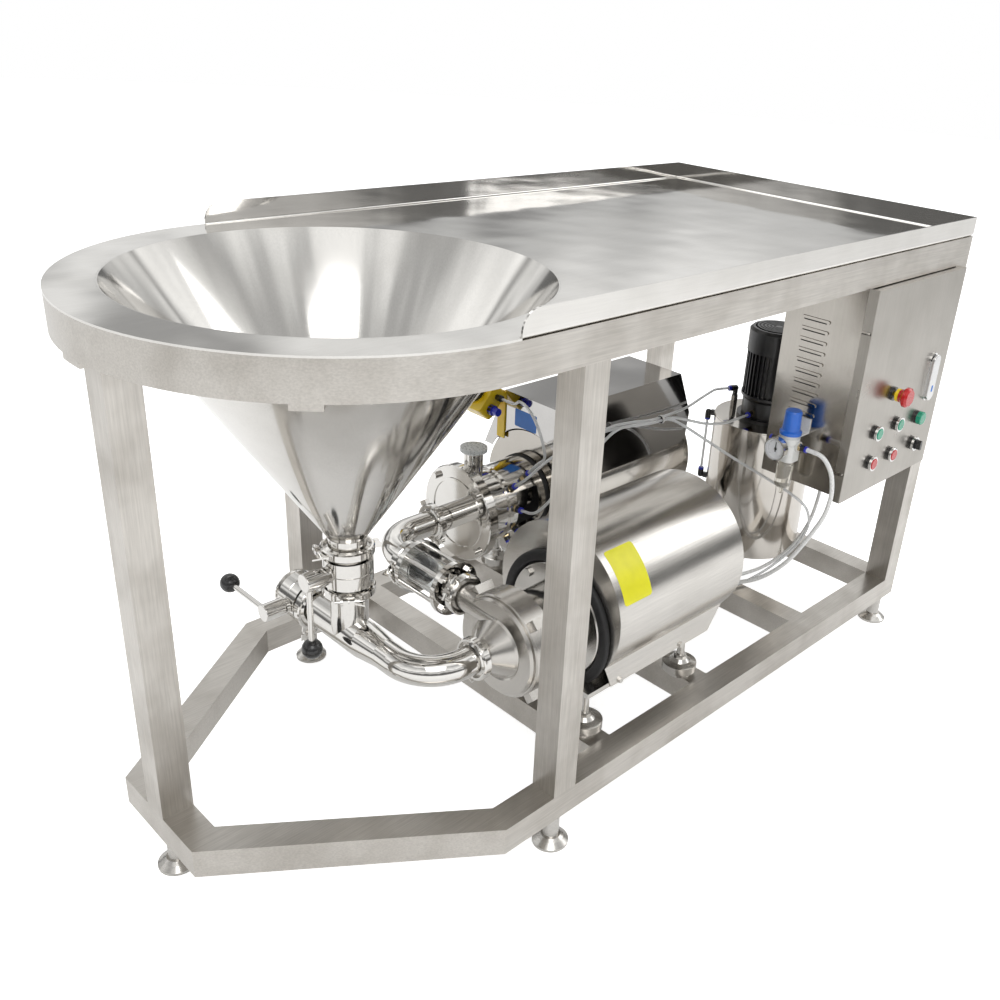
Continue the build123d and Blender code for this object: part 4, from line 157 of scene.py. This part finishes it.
def plastic(name, colour, roughness, coat=0.0, grain=600):
    """Moulded plastic or enamel with a fine surface."""
    material, shader = new_material(name, colour, 0.0, roughness)
    shader.inputs["Coat Weight"].default_value = coat
    shader.inputs["Coat Roughness"].default_value = COAT_ROUGHNESS
    tree = material.node_tree
    noise = object_noise(tree, (grain, grain, grain), 2.0)
    clouds = object_noise(tree, PLASTIC_CLOUDS, 2.0)
    dark = tuple(c * PLASTIC_SHADE for c in colour)
    tree.links.new(
        mixed(tree, ranged(tree, clouds, 0, 1), dark, colour),
        shader.inputs["Base Color"],
    )
    tree.links.new(
        ranged(tree, noise, roughness * 0.85, roughness * 1.15),
        shader.inputs["Roughness"],
    )
    bumped(tree, shader, noise, *PLASTIC_RELIEF)
    return material


def clear(name, colour, roughness, transmission):
    """Glass or a clear or milky tube."""
    material, shader = new_material(name, colour, 0.0, roughness)
    shader.inputs["Transmission Weight"].default_value = transmission
    shader.inputs["IOR"].default_value = CLEAR_IOR
    tree = material.node_tree
    noise = object_noise(tree, CLEAR_GRAIN, 2.0)
    tree.links.new(
        ranged(tree, noise, roughness * 0.7, roughness * 1.3),
        shader.inputs["Roughness"],
    )
    return material


# Finishes
WARM = (0.56, 0.535, 0.5)
LIGHT = (0.74, 0.725, 0.7)
ALONG_X = (14, 420, 420)
ALONG_Z = (420, 420, 14)
ALL_WAYS = (300, 300, 300)
frame_x = steel("brushed_along_x", WARM, 0.32, ALONG_X, 0.1, patches=0.14)
frame_z = steel("brushed_along_z", WARM, 0.32, ALONG_Z, 0.1, patches=0.14)
tray_finish = steel("mirror_sheet", LIGHT, 0.07, ALONG_X, 0.03, wave=9, spread=0.05, patches=0.05)
cone_finish = steel("polished_cone", LIGHT, 0.1, ALONG_Z, 0.03, wave=5, spread=0.06, patches=0.05)
pipe_finish = steel("polished_pipe", LIGHT, 0.09, ALL_WAYS, 0.03, spread=0.06, patches=0.04)
cover_finish = steel(
    "satin_rolled_sheet", (0.62, 0.6, 0.57), 0.22, ALONG_X, 0.08, spread=0.04, patches=0.03
)
hood_finish = steel(
    "mirror_hood", (0.55, 0.54, 0.53), 0.06, ALONG_X, 0.03, wave=6, spread=0.04, patches=0.04
)
turned_finish = steel("turned_steel", (0.6, 0.585, 0.56), 0.22, ALL_WAYS, 0.06)
cast_finish = steel(
    "satin_casing", (0.56, 0.54, 0.51), 0.24, ALL_WAYS, 0.04, spread=0.04, patches=0.05
)
door_finish = steel("satin_door", (0.42, 0.4, 0.37), 0.3, ALONG_Z, 0.04, patches=0.05)
cabinet_finish = steel(
    "glossy_cabinet", (0.46, 0.435, 0.4), 0.14, ALONG_Z, 0.04, wave=3, patches=0.05
)
tank_finish = steel("tank_sheet", (0.62, 0.59, 0.55), 0.12, ALONG_Z, 0.04, wave=6, patches=0.05)
barrel_finish = steel(
    "mirror_barrel", (0.5, 0.475, 0.44), 0.1, ALONG_X, 0.03, wave=5, patches=0.05
)
chrome = steel("bright_chrome", (0.75, 0.75, 0.75), 0.06, ALL_WAYS, 0.02, spread=0.03, patches=0)
satin_chrome = steel("satin_chrome", (0.7, 0.7, 0.7), 0.28, ALL_WAYS, 0.04, patches=0)
brass = steel("nickelled_brass", (0.62, 0.5, 0.3), 0.2, ALL_WAYS, 0.05, patches=0.05)
black_enamel = plastic("black_enamel", (0.012, 0.012, 0.014), 0.35, 0.3)
black_plastic = plastic("black_plastic", (0.012, 0.012, 0.013), 0.28, 0.4)
black_rubber = plastic("black_rubber", (0.015, 0.015, 0.016), 0.55, 0.0, 300)
grey_plastic = plastic("grey_plastic", (0.22, 0.23, 0.24), 0.5)
green_plastic = plastic("green_plastic", (0.0, 0.3, 0.17), 0.22, 0.5)
red_plastic = plastic("red_plastic", (0.5, 0.006, 0.01), 0.25, 0.5)
yellow_plastic = plastic("yellow_plastic", (0.86, 0.6, 0.01), 0.35, 0.3)
yellow_film = plastic("yellow_film", (0.8, 0.76, 0.01), 0.4, 0.2)
blue_plastic = plastic("blue_plastic", (0.004, 0.13, 0.62), 0.3, 0.4)
blue_collar = plastic("blue_collar", (0.02, 0.03, 0.5), 0.3, 0.4)
blue_film = plastic("blue_film", (0.0, 0.16, 0.62), 0.4, 0.2)
white_plastic = plastic("white_plastic", (0.72, 0.72, 0.71), 0.32, 0.4)
dial_white = plastic("dial_white", (0.8, 0.81, 0.84), 0.4, 0.5)
milky_tube = clear("milky_tube", (0.86, 0.86, 0.85), 0.3, 0.1)
clear_tube = clear("clear_tube", (0.86, 0.87, 0.88), 0.14, 0.4)
cap_plastic = clear("cap_plastic", (0.82, 0.84, 0.84), 0.3, 0.25)
glass = clear("sight_glass", (0.95, 0.97, 0.97), 0.02, 0.97)
bowl_plastic = clear("bowl_plastic", (0.8, 0.77, 0.7), 0.06, 0.8)

finish_of = {
    "table_tray": tray_finish,
    "table_rim": frame_x,
    "legs": frame_z,
    "base_rails": frame_x,
    "levelling_feet": turned_finish,
    "hopper": cone_finish,
    "neck_clamp": pipe_finish,
    "pipe_clamps": pipe_finish,
    "powder_valve_body": pipe_finish,
    "powder_valve_lever": pipe_finish,
    "powder_valve_knob": black_plastic,
    "liquid_valve_body": pipe_finish,
    "liquid_valve_lever": pipe_finish,
    "liquid_valve_knob": black_plastic,
    "mixing_tee": pipe_finish,
    "pump_casing": cast_finish,
    "pump_band": cast_finish,
    "pump_impeller": turned_finish,
    "pump_lantern": pipe_finish,
    "front_motor": turned_finish,
    "rubber_rings": black_rubber,
    "front_motor_cover": cover_finish,
    "motor_mounts": turned_finish,
    "sight_glass_frame": pipe_finish,
    "sight_glass_tube": glass,
    "outlet_elbow": pipe_finish,
    "head_cover": pipe_finish,
    "head_casing": pipe_finish,
    "head_rotor": turned_finish,
    "head_lantern": pipe_finish,
    "rear_motor": barrel_finish,
    "rear_motor_hood": hood_finish,
    "tank_body": tank_finish,
    "tank_motor": black_enamel,
    "tank_fan": black_plastic,
    "cabinet_body": cabinet_finish,
    "control_gear": grey_plastic,
    "cabinet_door": door_finish,
    "door_collars": black_plastic,
    "door_rings": chrome,
    "lamp_lens": green_plastic,
    "green_button_left": green_plastic,
    "green_button_right": green_plastic,
    "red_button_left": red_plastic,
    "red_button_right": red_plastic,
    "selector_knob": black_plastic,
    "stop_stem": yellow_plastic,
    "stop_head": red_plastic,
    "handle_hub": turned_finish,
    "handle_lever": satin_chrome,
    "regulator_body": white_plastic,
    "regulator_bowl": bowl_plastic,
    "regulator_knob": blue_plastic,
    "gauge": chrome,
    "gauge_needle": black_plastic,
    "switch_box": yellow_plastic,
    "switch_dial": black_plastic,
    "tube_fittings": black_plastic,
    "clear_tubes": clear_tube,
    "white_hoses": milky_tube,
}
for name, material in finish_of.items():
    slots = nodes[name].data.materials
    slots.clear()
    slots.append(material)

# The outlet's dust cap is milky plastic, unlike the clamps it shares a node with
NOZZLE_TOP = at(405, 154, 484)
CAP_REACH = 28 * MM
CAP_SKIRT = 9 * MM
clamps = nodes["pipe_clamps"]
clamps.data.materials.append(cap_plastic)
for face in clamps.data.polygons:
    reach = clamps.matrix_world @ face.center - NOZZLE_TOP
    if reach.z > -CAP_SKIRT and math.hypot(reach.x, reach.y) < CAP_REACH:
        face.material_index = 1

SMOOTH_ANGLE = math.radians(35)


def smooth(mesh):
    """Round faces shade smoothly, and edges stay crisp."""
    for face in mesh.polygons:
        face.use_smooth = True
    mesh.set_sharp_from_angle(angle=SMOOTH_ANGLE)


for node in nodes.values():
    smooth(node.data)


# Small pieces that ride on the model's bodies; lengths in millimetres
def piece(name, shape, material, body):
    """A mesh object that rides on a body of the model."""
    bmesh.ops.recalc_face_normals(shape, faces=shape.faces)
    mesh = bpy.data.meshes.new(name)
    shape.to_mesh(mesh)
    shape.free()
    smooth(mesh)
    mesh.materials.append(material)
    thing = bpy.data.objects.new(name, mesh)
    bpy.context.scene.collection.objects.link(thing)
    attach(thing, body)


def thicken(shape, depth):
    """Flat faces pulled up along z into a closed solid."""
    grown = bmesh.ops.extrude_face_region(shape, geom=shape.faces[:])["geom"]
    top = [part for part in grown if isinstance(part, bmesh.types.BMVert)]
    bmesh.ops.translate(shape, vec=(0, 0, depth), verts=top)


def drum(name, start, direction, radius, length, material, body="frame", sides=40, inner=0):
    """A short cylinder, ring or prism from a point along a direction."""
    shape = bmesh.new()
    bmesh.ops.create_circle(shape, cap_ends=not inner, radius=radius * MM, segments=sides)
    if inner:
        bmesh.ops.create_circle(shape, radius=inner * MM, segments=sides)
        bmesh.ops.bridge_loops(shape, edges=shape.edges[:])
    thicken(shape, length * MM)
    turn = direction.to_track_quat("Z", "Y").to_matrix().to_4x4()
    bmesh.ops.transform(shape, matrix=Matrix.Translation(start) @ turn, verts=shape.verts)
    piece(name, shape, material, body)


CORNER_STEPS = 6
PLATE_ROWS = 8


def plate(name, size, radius, place, thickness, material, body="frame"):
    """A thin blank plate with rounded corners; place turns (across, up, out) into a point.

    Rows across it let it follow a curved face.
    """
    width, height = size
    straight = height / 2 - radius
    shape = bmesh.new()
    bmesh.ops.create_grid(shape, x_segments=1, y_segments=1, size=0.5)
    bmesh.ops.scale(shape, vec=(width, height, 1), verts=shape.verts)
    bmesh.ops.bevel(
        shape, geom=shape.verts[:], offset=radius, affect="VERTICES",
        segments=CORNER_STEPS, profile=0.5, material=-1,
    )
    rows = [straight * k / PLATE_ROWS for k in range(PLATE_ROWS + 1)]
    turn = math.pi / 2 / CORNER_STEPS
    rows += [straight + radius * math.sin(turn * k) for k in range(1, CORNER_STEPS)]
    for row in rows:
        for side in (-1, 1):
            bmesh.ops.bisect_plane(
                shape, geom=shape.verts[:] + shape.edges[:] + shape.faces[:],
                dist=0.001, plane_co=(0, side * row, 0), plane_no=(0, 1, 0),
            )
    thicken(shape, thickness)
    for corner in shape.verts:
        corner.co = place(*corner.co)
    piece(name, shape, material, body)


# Push-in fittings: each has a brass nipple and a blue collar, out from its seat
HEAD_AXIS = (154, 350)
HEAD_RADIUS = 75
HEAD_PORT_ANGLES = (40, 8, -24, -50)
PUMP_BLOCK = at(238, -200, 304)
PUMP_BLOCK_OUT = Vector((0, 0.643, -0.766))
REGULATOR_FRONT = at(838, -314, 530)
REGULATOR_BACK = at(838, -266, 530)
TANK_PORT = at(1081.5, -43, 460)
COLLAR_START = 13.6
COLLAR_RADIUS = 6.6
COLLAR_LENGTH = 4.6
NIPPLE_START = 0.4
NIPPLE_RADIUS = 8.2
NIPPLE_LENGTH = 5


def radial(angle):
    """A direction square to the shafts, from the operator's side upwards."""
    return Vector((0, -math.cos(math.radians(angle)), math.sin(math.radians(angle))))


seats = [(at(455, *HEAD_AXIS) + radial(a) * HEAD_RADIUS * MM, radial(a)) for a in HEAD_PORT_ANGLES]
seats.append((at(502, *HEAD_AXIS) + radial(50) * HEAD_RADIUS * MM, radial(50)))
seats.append((PUMP_BLOCK + PUMP_BLOCK_OUT * 70 * MM, PUMP_BLOCK_OUT))
seats.append((TANK_PORT, -ALONG))
seats.append((REGULATOR_FRONT, FORWARDS))
seats.append((REGULATOR_BACK, -FORWARDS))
for number, (seat, out) in enumerate(seats):
    collar = seat + out * COLLAR_START * MM
    nipple = seat + out * NIPPLE_START * MM
    drum(f"fitting_collar_{number}", collar, out, COLLAR_RADIUS, COLLAR_LENGTH, blue_collar)
    drum(f"fitting_nipple_{number}", nipple, out, NIPPLE_RADIUS, NIPPLE_LENGTH, brass, sides=6)

# Elbows on the tank: the top one, and both ends of the level tube
ELBOW_START = 13.8
ELBOW_RADIUS = 6.7
elbows = [
    (at(1136, 46, 485), Vector((-0.9, 0.436, 0))),
    (at(1079, 76, 428), -UP),
    (at(1079, 76, 265), UP),
]
for number, (corner, out) in enumerate(elbows):
    collar = corner + out * ELBOW_START * MM
    drum(f"elbow_collar_{number}", collar, out, ELBOW_RADIUS, COLLAR_LENGTH, blue_collar)
drum("elbow_nipple", at(1136, 46, 440.2), UP, 8.4, 27.2, turned_finish, sides=6)

# Gland of the isolator's box, and the tie round two tubes
drum("box_gland_nut", at(514, 227, 515), FORWARDS, 11.4, 10.3, blue_collar, sides=8)
drum("box_gland_neck", at(514, 217, 515), FORWARDS, 8.3, 14.2, blue_collar)
drum("tube_tie", at(765.7, -22, 512), ALONG, 9.1, 4.6, white_plastic, inner=8.4)

# Ringed grille over the tank motor's fan: bars on a black disc, which is painted shade for the
# dark inside of the cowl seen between the bars
COWL_TOP = at(1140, -44, 655)
SHADE_DISC_START = COWL_TOP - UP * 0.1 * MM
HUB_RADIUS = 9
BAR_REACH = (17, 25, 33, 41, 49)
BAR_WIDTH = 4
BAR_HEIGHT = 1.6
# The black disc under the bars is painted shade: it darkens the gaps where the cowl's inside lies
# in shadow
drum("grille_painted_shade", SHADE_DISC_START, UP, 49.2, 0.4, black_rubber)
drum("grille_bar_0", COWL_TOP, UP, HUB_RADIUS, BAR_HEIGHT, black_enamel)
for number, reach in enumerate(BAR_REACH, 1):
    hole = reach - BAR_WIDTH
    drum(f"grille_bar_{number}", COWL_TOP, UP, reach, BAR_HEIGHT, black_enamel, inner=hole)

# Gauge: dial with marks round it, every third one long
DIAL_FACE = at(803.9, -283, 525)
DIAL_OUT = -ALONG
DIAL_START = -135
DIAL_STEP = 10
MARK_COUNT = 28
MARK_RISE = 0.15
MARK_THICK = 0.2
MARK_WIDTH = 0.5
LONG_MARK = (16.8, 3.6)
SHORT_MARK = (17.6, 2.0)
drum("gauge_dial", DIAL_FACE - DIAL_OUT * 0.3 * MM, DIAL_OUT, 20.9, 0.35, dial_white, inner=1.6)
marks = bmesh.new()
for step in range(MARK_COUNT):
    turn = math.radians(DIAL_START + DIAL_STEP * step)
    reach, length = SHORT_MARK if step % 3 else LONG_MARK
    offset = Vector((-MARK_RISE, -reach * math.sin(turn), reach * math.cos(turn)))
    stroke = bmesh.ops.create_cube(marks, size=1)["verts"]
    size = Matrix.Diagonal((MARK_THICK * MM, MARK_WIDTH * MM, length * MM, 1))
    lean = Matrix.Rotation(turn, 4, "X")
    place = Matrix.Translation(DIAL_FACE + offset * MM)
    bmesh.ops.transform(marks, matrix=place @ lean @ size, verts=stroke)
piece("gauge_marks", marks, black_plastic, "frame")

# Blank plates: on the cover, on the hood, and the lock's oval on the handle
COVER_AXIS = (-200, 340)
COVER_RADIUS = 145.5
COVER_PLATE_X = 347.5
COVER_PLATE_TURN = math.radians(37.3)
HOOD_PLATE = (558, 167, 498)
HANDLE_OVAL = (1169, -411, 610)
FILM = 0.35


def on_cover(across, up, height):
    """A point on the front motor's cover."""
    turn = COVER_PLATE_TURN + up / COVER_RADIUS
    reach = COVER_RADIUS + height
    y = COVER_AXIS[0] - reach * math.cos(turn)
    z = COVER_AXIS[1] + reach * math.sin(turn)
    return at(COVER_PLATE_X + across, y, z)


def on_hood(across, up, height):
    """A point on the hood's front face."""
    x, y, z = HOOD_PLATE
    return at(x - height, y - across, z + up)


def on_handle(across, up, height):
    """A point on the handle's face."""
    x, y, z = HANDLE_OVAL
    return at(x + across, y - height, z + up)


plate("cover_plate", (70, 100), 6, on_cover, FILM, yellow_film)
plate("hood_plate", (64, 38), 3, on_hood, FILM, blue_film)
plate("handle_oval", (7, 15), 3.4, on_handle, 0.25, blue_film, "handle_lever")

# Studio: a white floor, a white backdrop colour, soft lamps and a bright room to reflect
FLOOR_RADIUS = 14
FLOOR_GLOW = (0.12, 0.7)
ROOM_STRENGTH = 1.1
ROOM_WAVER = 0.30
ROOM_SWELL = 2.6
ROOM_STRETCH = (1, 1, 0.35)
ROOM_WARMTH = 0.99
# Brightness of the room from straight down (0) over the horizon (0.5) to straight up (1)
ROOM_STOPS = [
    (0.0, 0.45),
    (0.44, 0.3),
    (0.5, 0.14),
    (0.57, 0.16),
    (0.605, 0.55),
    (0.64, 0.85),
    (0.675, 0.35),
    (0.72, 1.1),
    (0.8, 0.8),
    (0.87, 0.45),
    (0.93, 1.0),
    (1.0, 1.1),
]


def make_floor():
    """A round plain floor, white to the camera and a little less so to the object."""
    mesh = bpy.data.meshes.new("floor")
    shape = bmesh.new()
    bmesh.ops.create_circle(shape, cap_ends=True, radius=FLOOR_RADIUS, segments=96)
    shape.to_mesh(mesh)
    shape.free()
    floor = bpy.data.objects.new("floor", mesh)
    bpy.context.scene.collection.objects.link(floor)
    material, shader = new_material("floor_white", (0.9, 0.9, 0.9), 0.0, 0.9)
    shader.inputs["Emission Color"].default_value = (1, 1, 1, 1)
    tree = material.node_tree
    path = tree.nodes.new("ShaderNodeLightPath")
    glow = ranged(tree, path.outputs["Is Camera Ray"], *FLOOR_GLOW, 0, 1)
    tree.links.new(glow, shader.inputs["Emission Strength"])
    mesh.materials.append(material)


def make_world():
    """White to the camera, and a soft-box room to everything else."""
    world = bpy.data.worlds.new("room")
    bpy.context.scene.world = world
    world.use_nodes = True
    tree = world.node_tree
    tree.nodes.clear()
    output = tree.nodes.new("ShaderNodeOutputWorld")
    room = tree.nodes.new("ShaderNodeBackground")
    room.inputs["Strength"].default_value = ROOM_STRENGTH
    white = tree.nodes.new("ShaderNodeBackground")
    white.inputs["Color"].default_value = (1, 1, 1, 1)
    place = tree.nodes.new("ShaderNodeTexCoord")
    split = tree.nodes.new("ShaderNodeSeparateXYZ")
    tree.links.new(place.outputs["Generated"], split.inputs["Vector"])
    ramp = tree.nodes.new("ShaderNodeValToRGB")
    ramp.color_ramp.interpolation = "EASE"
    elements = ramp.color_ramp.elements
    while len(elements) < len(ROOM_STOPS):
        elements.new(0.5)
    for element, (position, level) in zip(elements, ROOM_STOPS):
        element.position = position
        element.color = (level, level, level * ROOM_WARMTH, 1)
    height = ranged(tree, split.outputs["Z"], 0, 1, -1, 1)
    # Noise makes the bands waver, by half its strength either way
    stretched = tree.nodes.new("ShaderNodeMapping")
    stretched.inputs["Scale"].default_value = ROOM_STRETCH
    noise = tree.nodes.new("ShaderNodeTexNoise")
    noise.inputs["Scale"].default_value = ROOM_SWELL
    noise.inputs["Detail"].default_value = 3
    tree.links.new(place.outputs["Generated"], stretched.inputs["Vector"])
    tree.links.new(stretched.outputs["Vector"], noise.inputs["Vector"])
    lower = tree.nodes.new("ShaderNodeMath")
    lower.operation = "SUBTRACT"
    lower.inputs[1].default_value = ROOM_WAVER / 2
    tree.links.new(height, lower.inputs[0])
    shift = tree.nodes.new("ShaderNodeMath")
    shift.operation = "MULTIPLY_ADD"
    shift.inputs[1].default_value = ROOM_WAVER
    tree.links.new(noise.outputs["Fac"], shift.inputs[0])
    tree.links.new(lower.outputs["Value"], shift.inputs[2])
    tree.links.new(shift.outputs["Value"], ramp.inputs["Fac"])
    tree.links.new(ramp.outputs["Color"], room.inputs["Color"])
    path = tree.nodes.new("ShaderNodeLightPath")
    choose = tree.nodes.new("ShaderNodeMixShader")
    tree.links.new(path.outputs["Is Camera Ray"], choose.inputs["Fac"])
    tree.links.new(room.outputs["Background"], choose.inputs[1])
    tree.links.new(white.outputs["Background"], choose.inputs[2])
    tree.links.new(choose.outputs["Shader"], output.inputs["Surface"])


def make_lamp(name, place, aim, size, power):
    """A square soft lamp aimed at a point."""
    lamp = bpy.data.lights.new(name, "AREA")
    lamp.size = size
    lamp.energy = power
    holder = bpy.data.objects.new(name, lamp)
    bpy.context.scene.collection.objects.link(holder)
    holder.location = place
    holder.rotation_mode = "QUATERNION"
    holder.rotation_quaternion = (Vector(aim) - Vector(place)).to_track_quat("-Z", "Y")


make_floor()
make_world()
make_lamp("key", (-1.8, -2.6, 3.4), (0, 0, 0.6), 2.2, 42)
make_lamp("fill", (3.0, -1.6, 2.4), (0.2, 0, 0.5), 2.0, 20)
make_lamp("top", (0.2, 0.6, 3.6), (0, 0, 0.8), 2.6, 28)

# Camera at the photograph's place, with its turn, its look down and its small roll
CAMERA_PLACE = at(-842.1, -1250.6, 1281.2)
CAMERA_TURN = math.radians(-47.573)
CAMERA_DROP = math.radians(25.528)
CAMERA_ROLL = math.radians(4.037)
SENSOR_MM = 36
FRAME_PX = 1000
FOCAL_PX = 1027.4
CENTRE_PX = (569.46, 496.89)


def make_camera():
    """The camera that the photograph was taken with."""
    camera = bpy.data.cameras.new("camera")
    camera.sensor_width = SENSOR_MM
    camera.lens = FOCAL_PX / FRAME_PX * SENSOR_MM
    camera.shift_x = (FRAME_PX / 2 - CENTRE_PX[0]) / FRAME_PX
    camera.shift_y = (CENTRE_PX[1] - FRAME_PX / 2) / FRAME_PX
    forward = Vector(
        (
            -math.sin(CAMERA_TURN) * math.cos(CAMERA_DROP),
            math.cos(CAMERA_TURN) * math.cos(CAMERA_DROP),
            -math.sin(CAMERA_DROP),
        )
    )
    level_right = Vector((math.cos(CAMERA_TURN), math.sin(CAMERA_TURN), 0))
    level_up = level_right.cross(forward)
    right = level_right * math.cos(CAMERA_ROLL) + level_up * math.sin(CAMERA_ROLL)
    up = level_up * math.cos(CAMERA_ROLL) - level_right * math.sin(CAMERA_ROLL)
    holder = bpy.data.objects.new("camera", camera)
    bpy.context.scene.collection.objects.link(holder)
    turn = Matrix((right, up, -forward)).transposed().to_4x4()
    holder.matrix_world = Matrix.Translation(CAMERA_PLACE) @ turn
    bpy.context.scene.camera = holder


make_camera()
bpy.context.scene.view_settings.view_transform = "Standard"
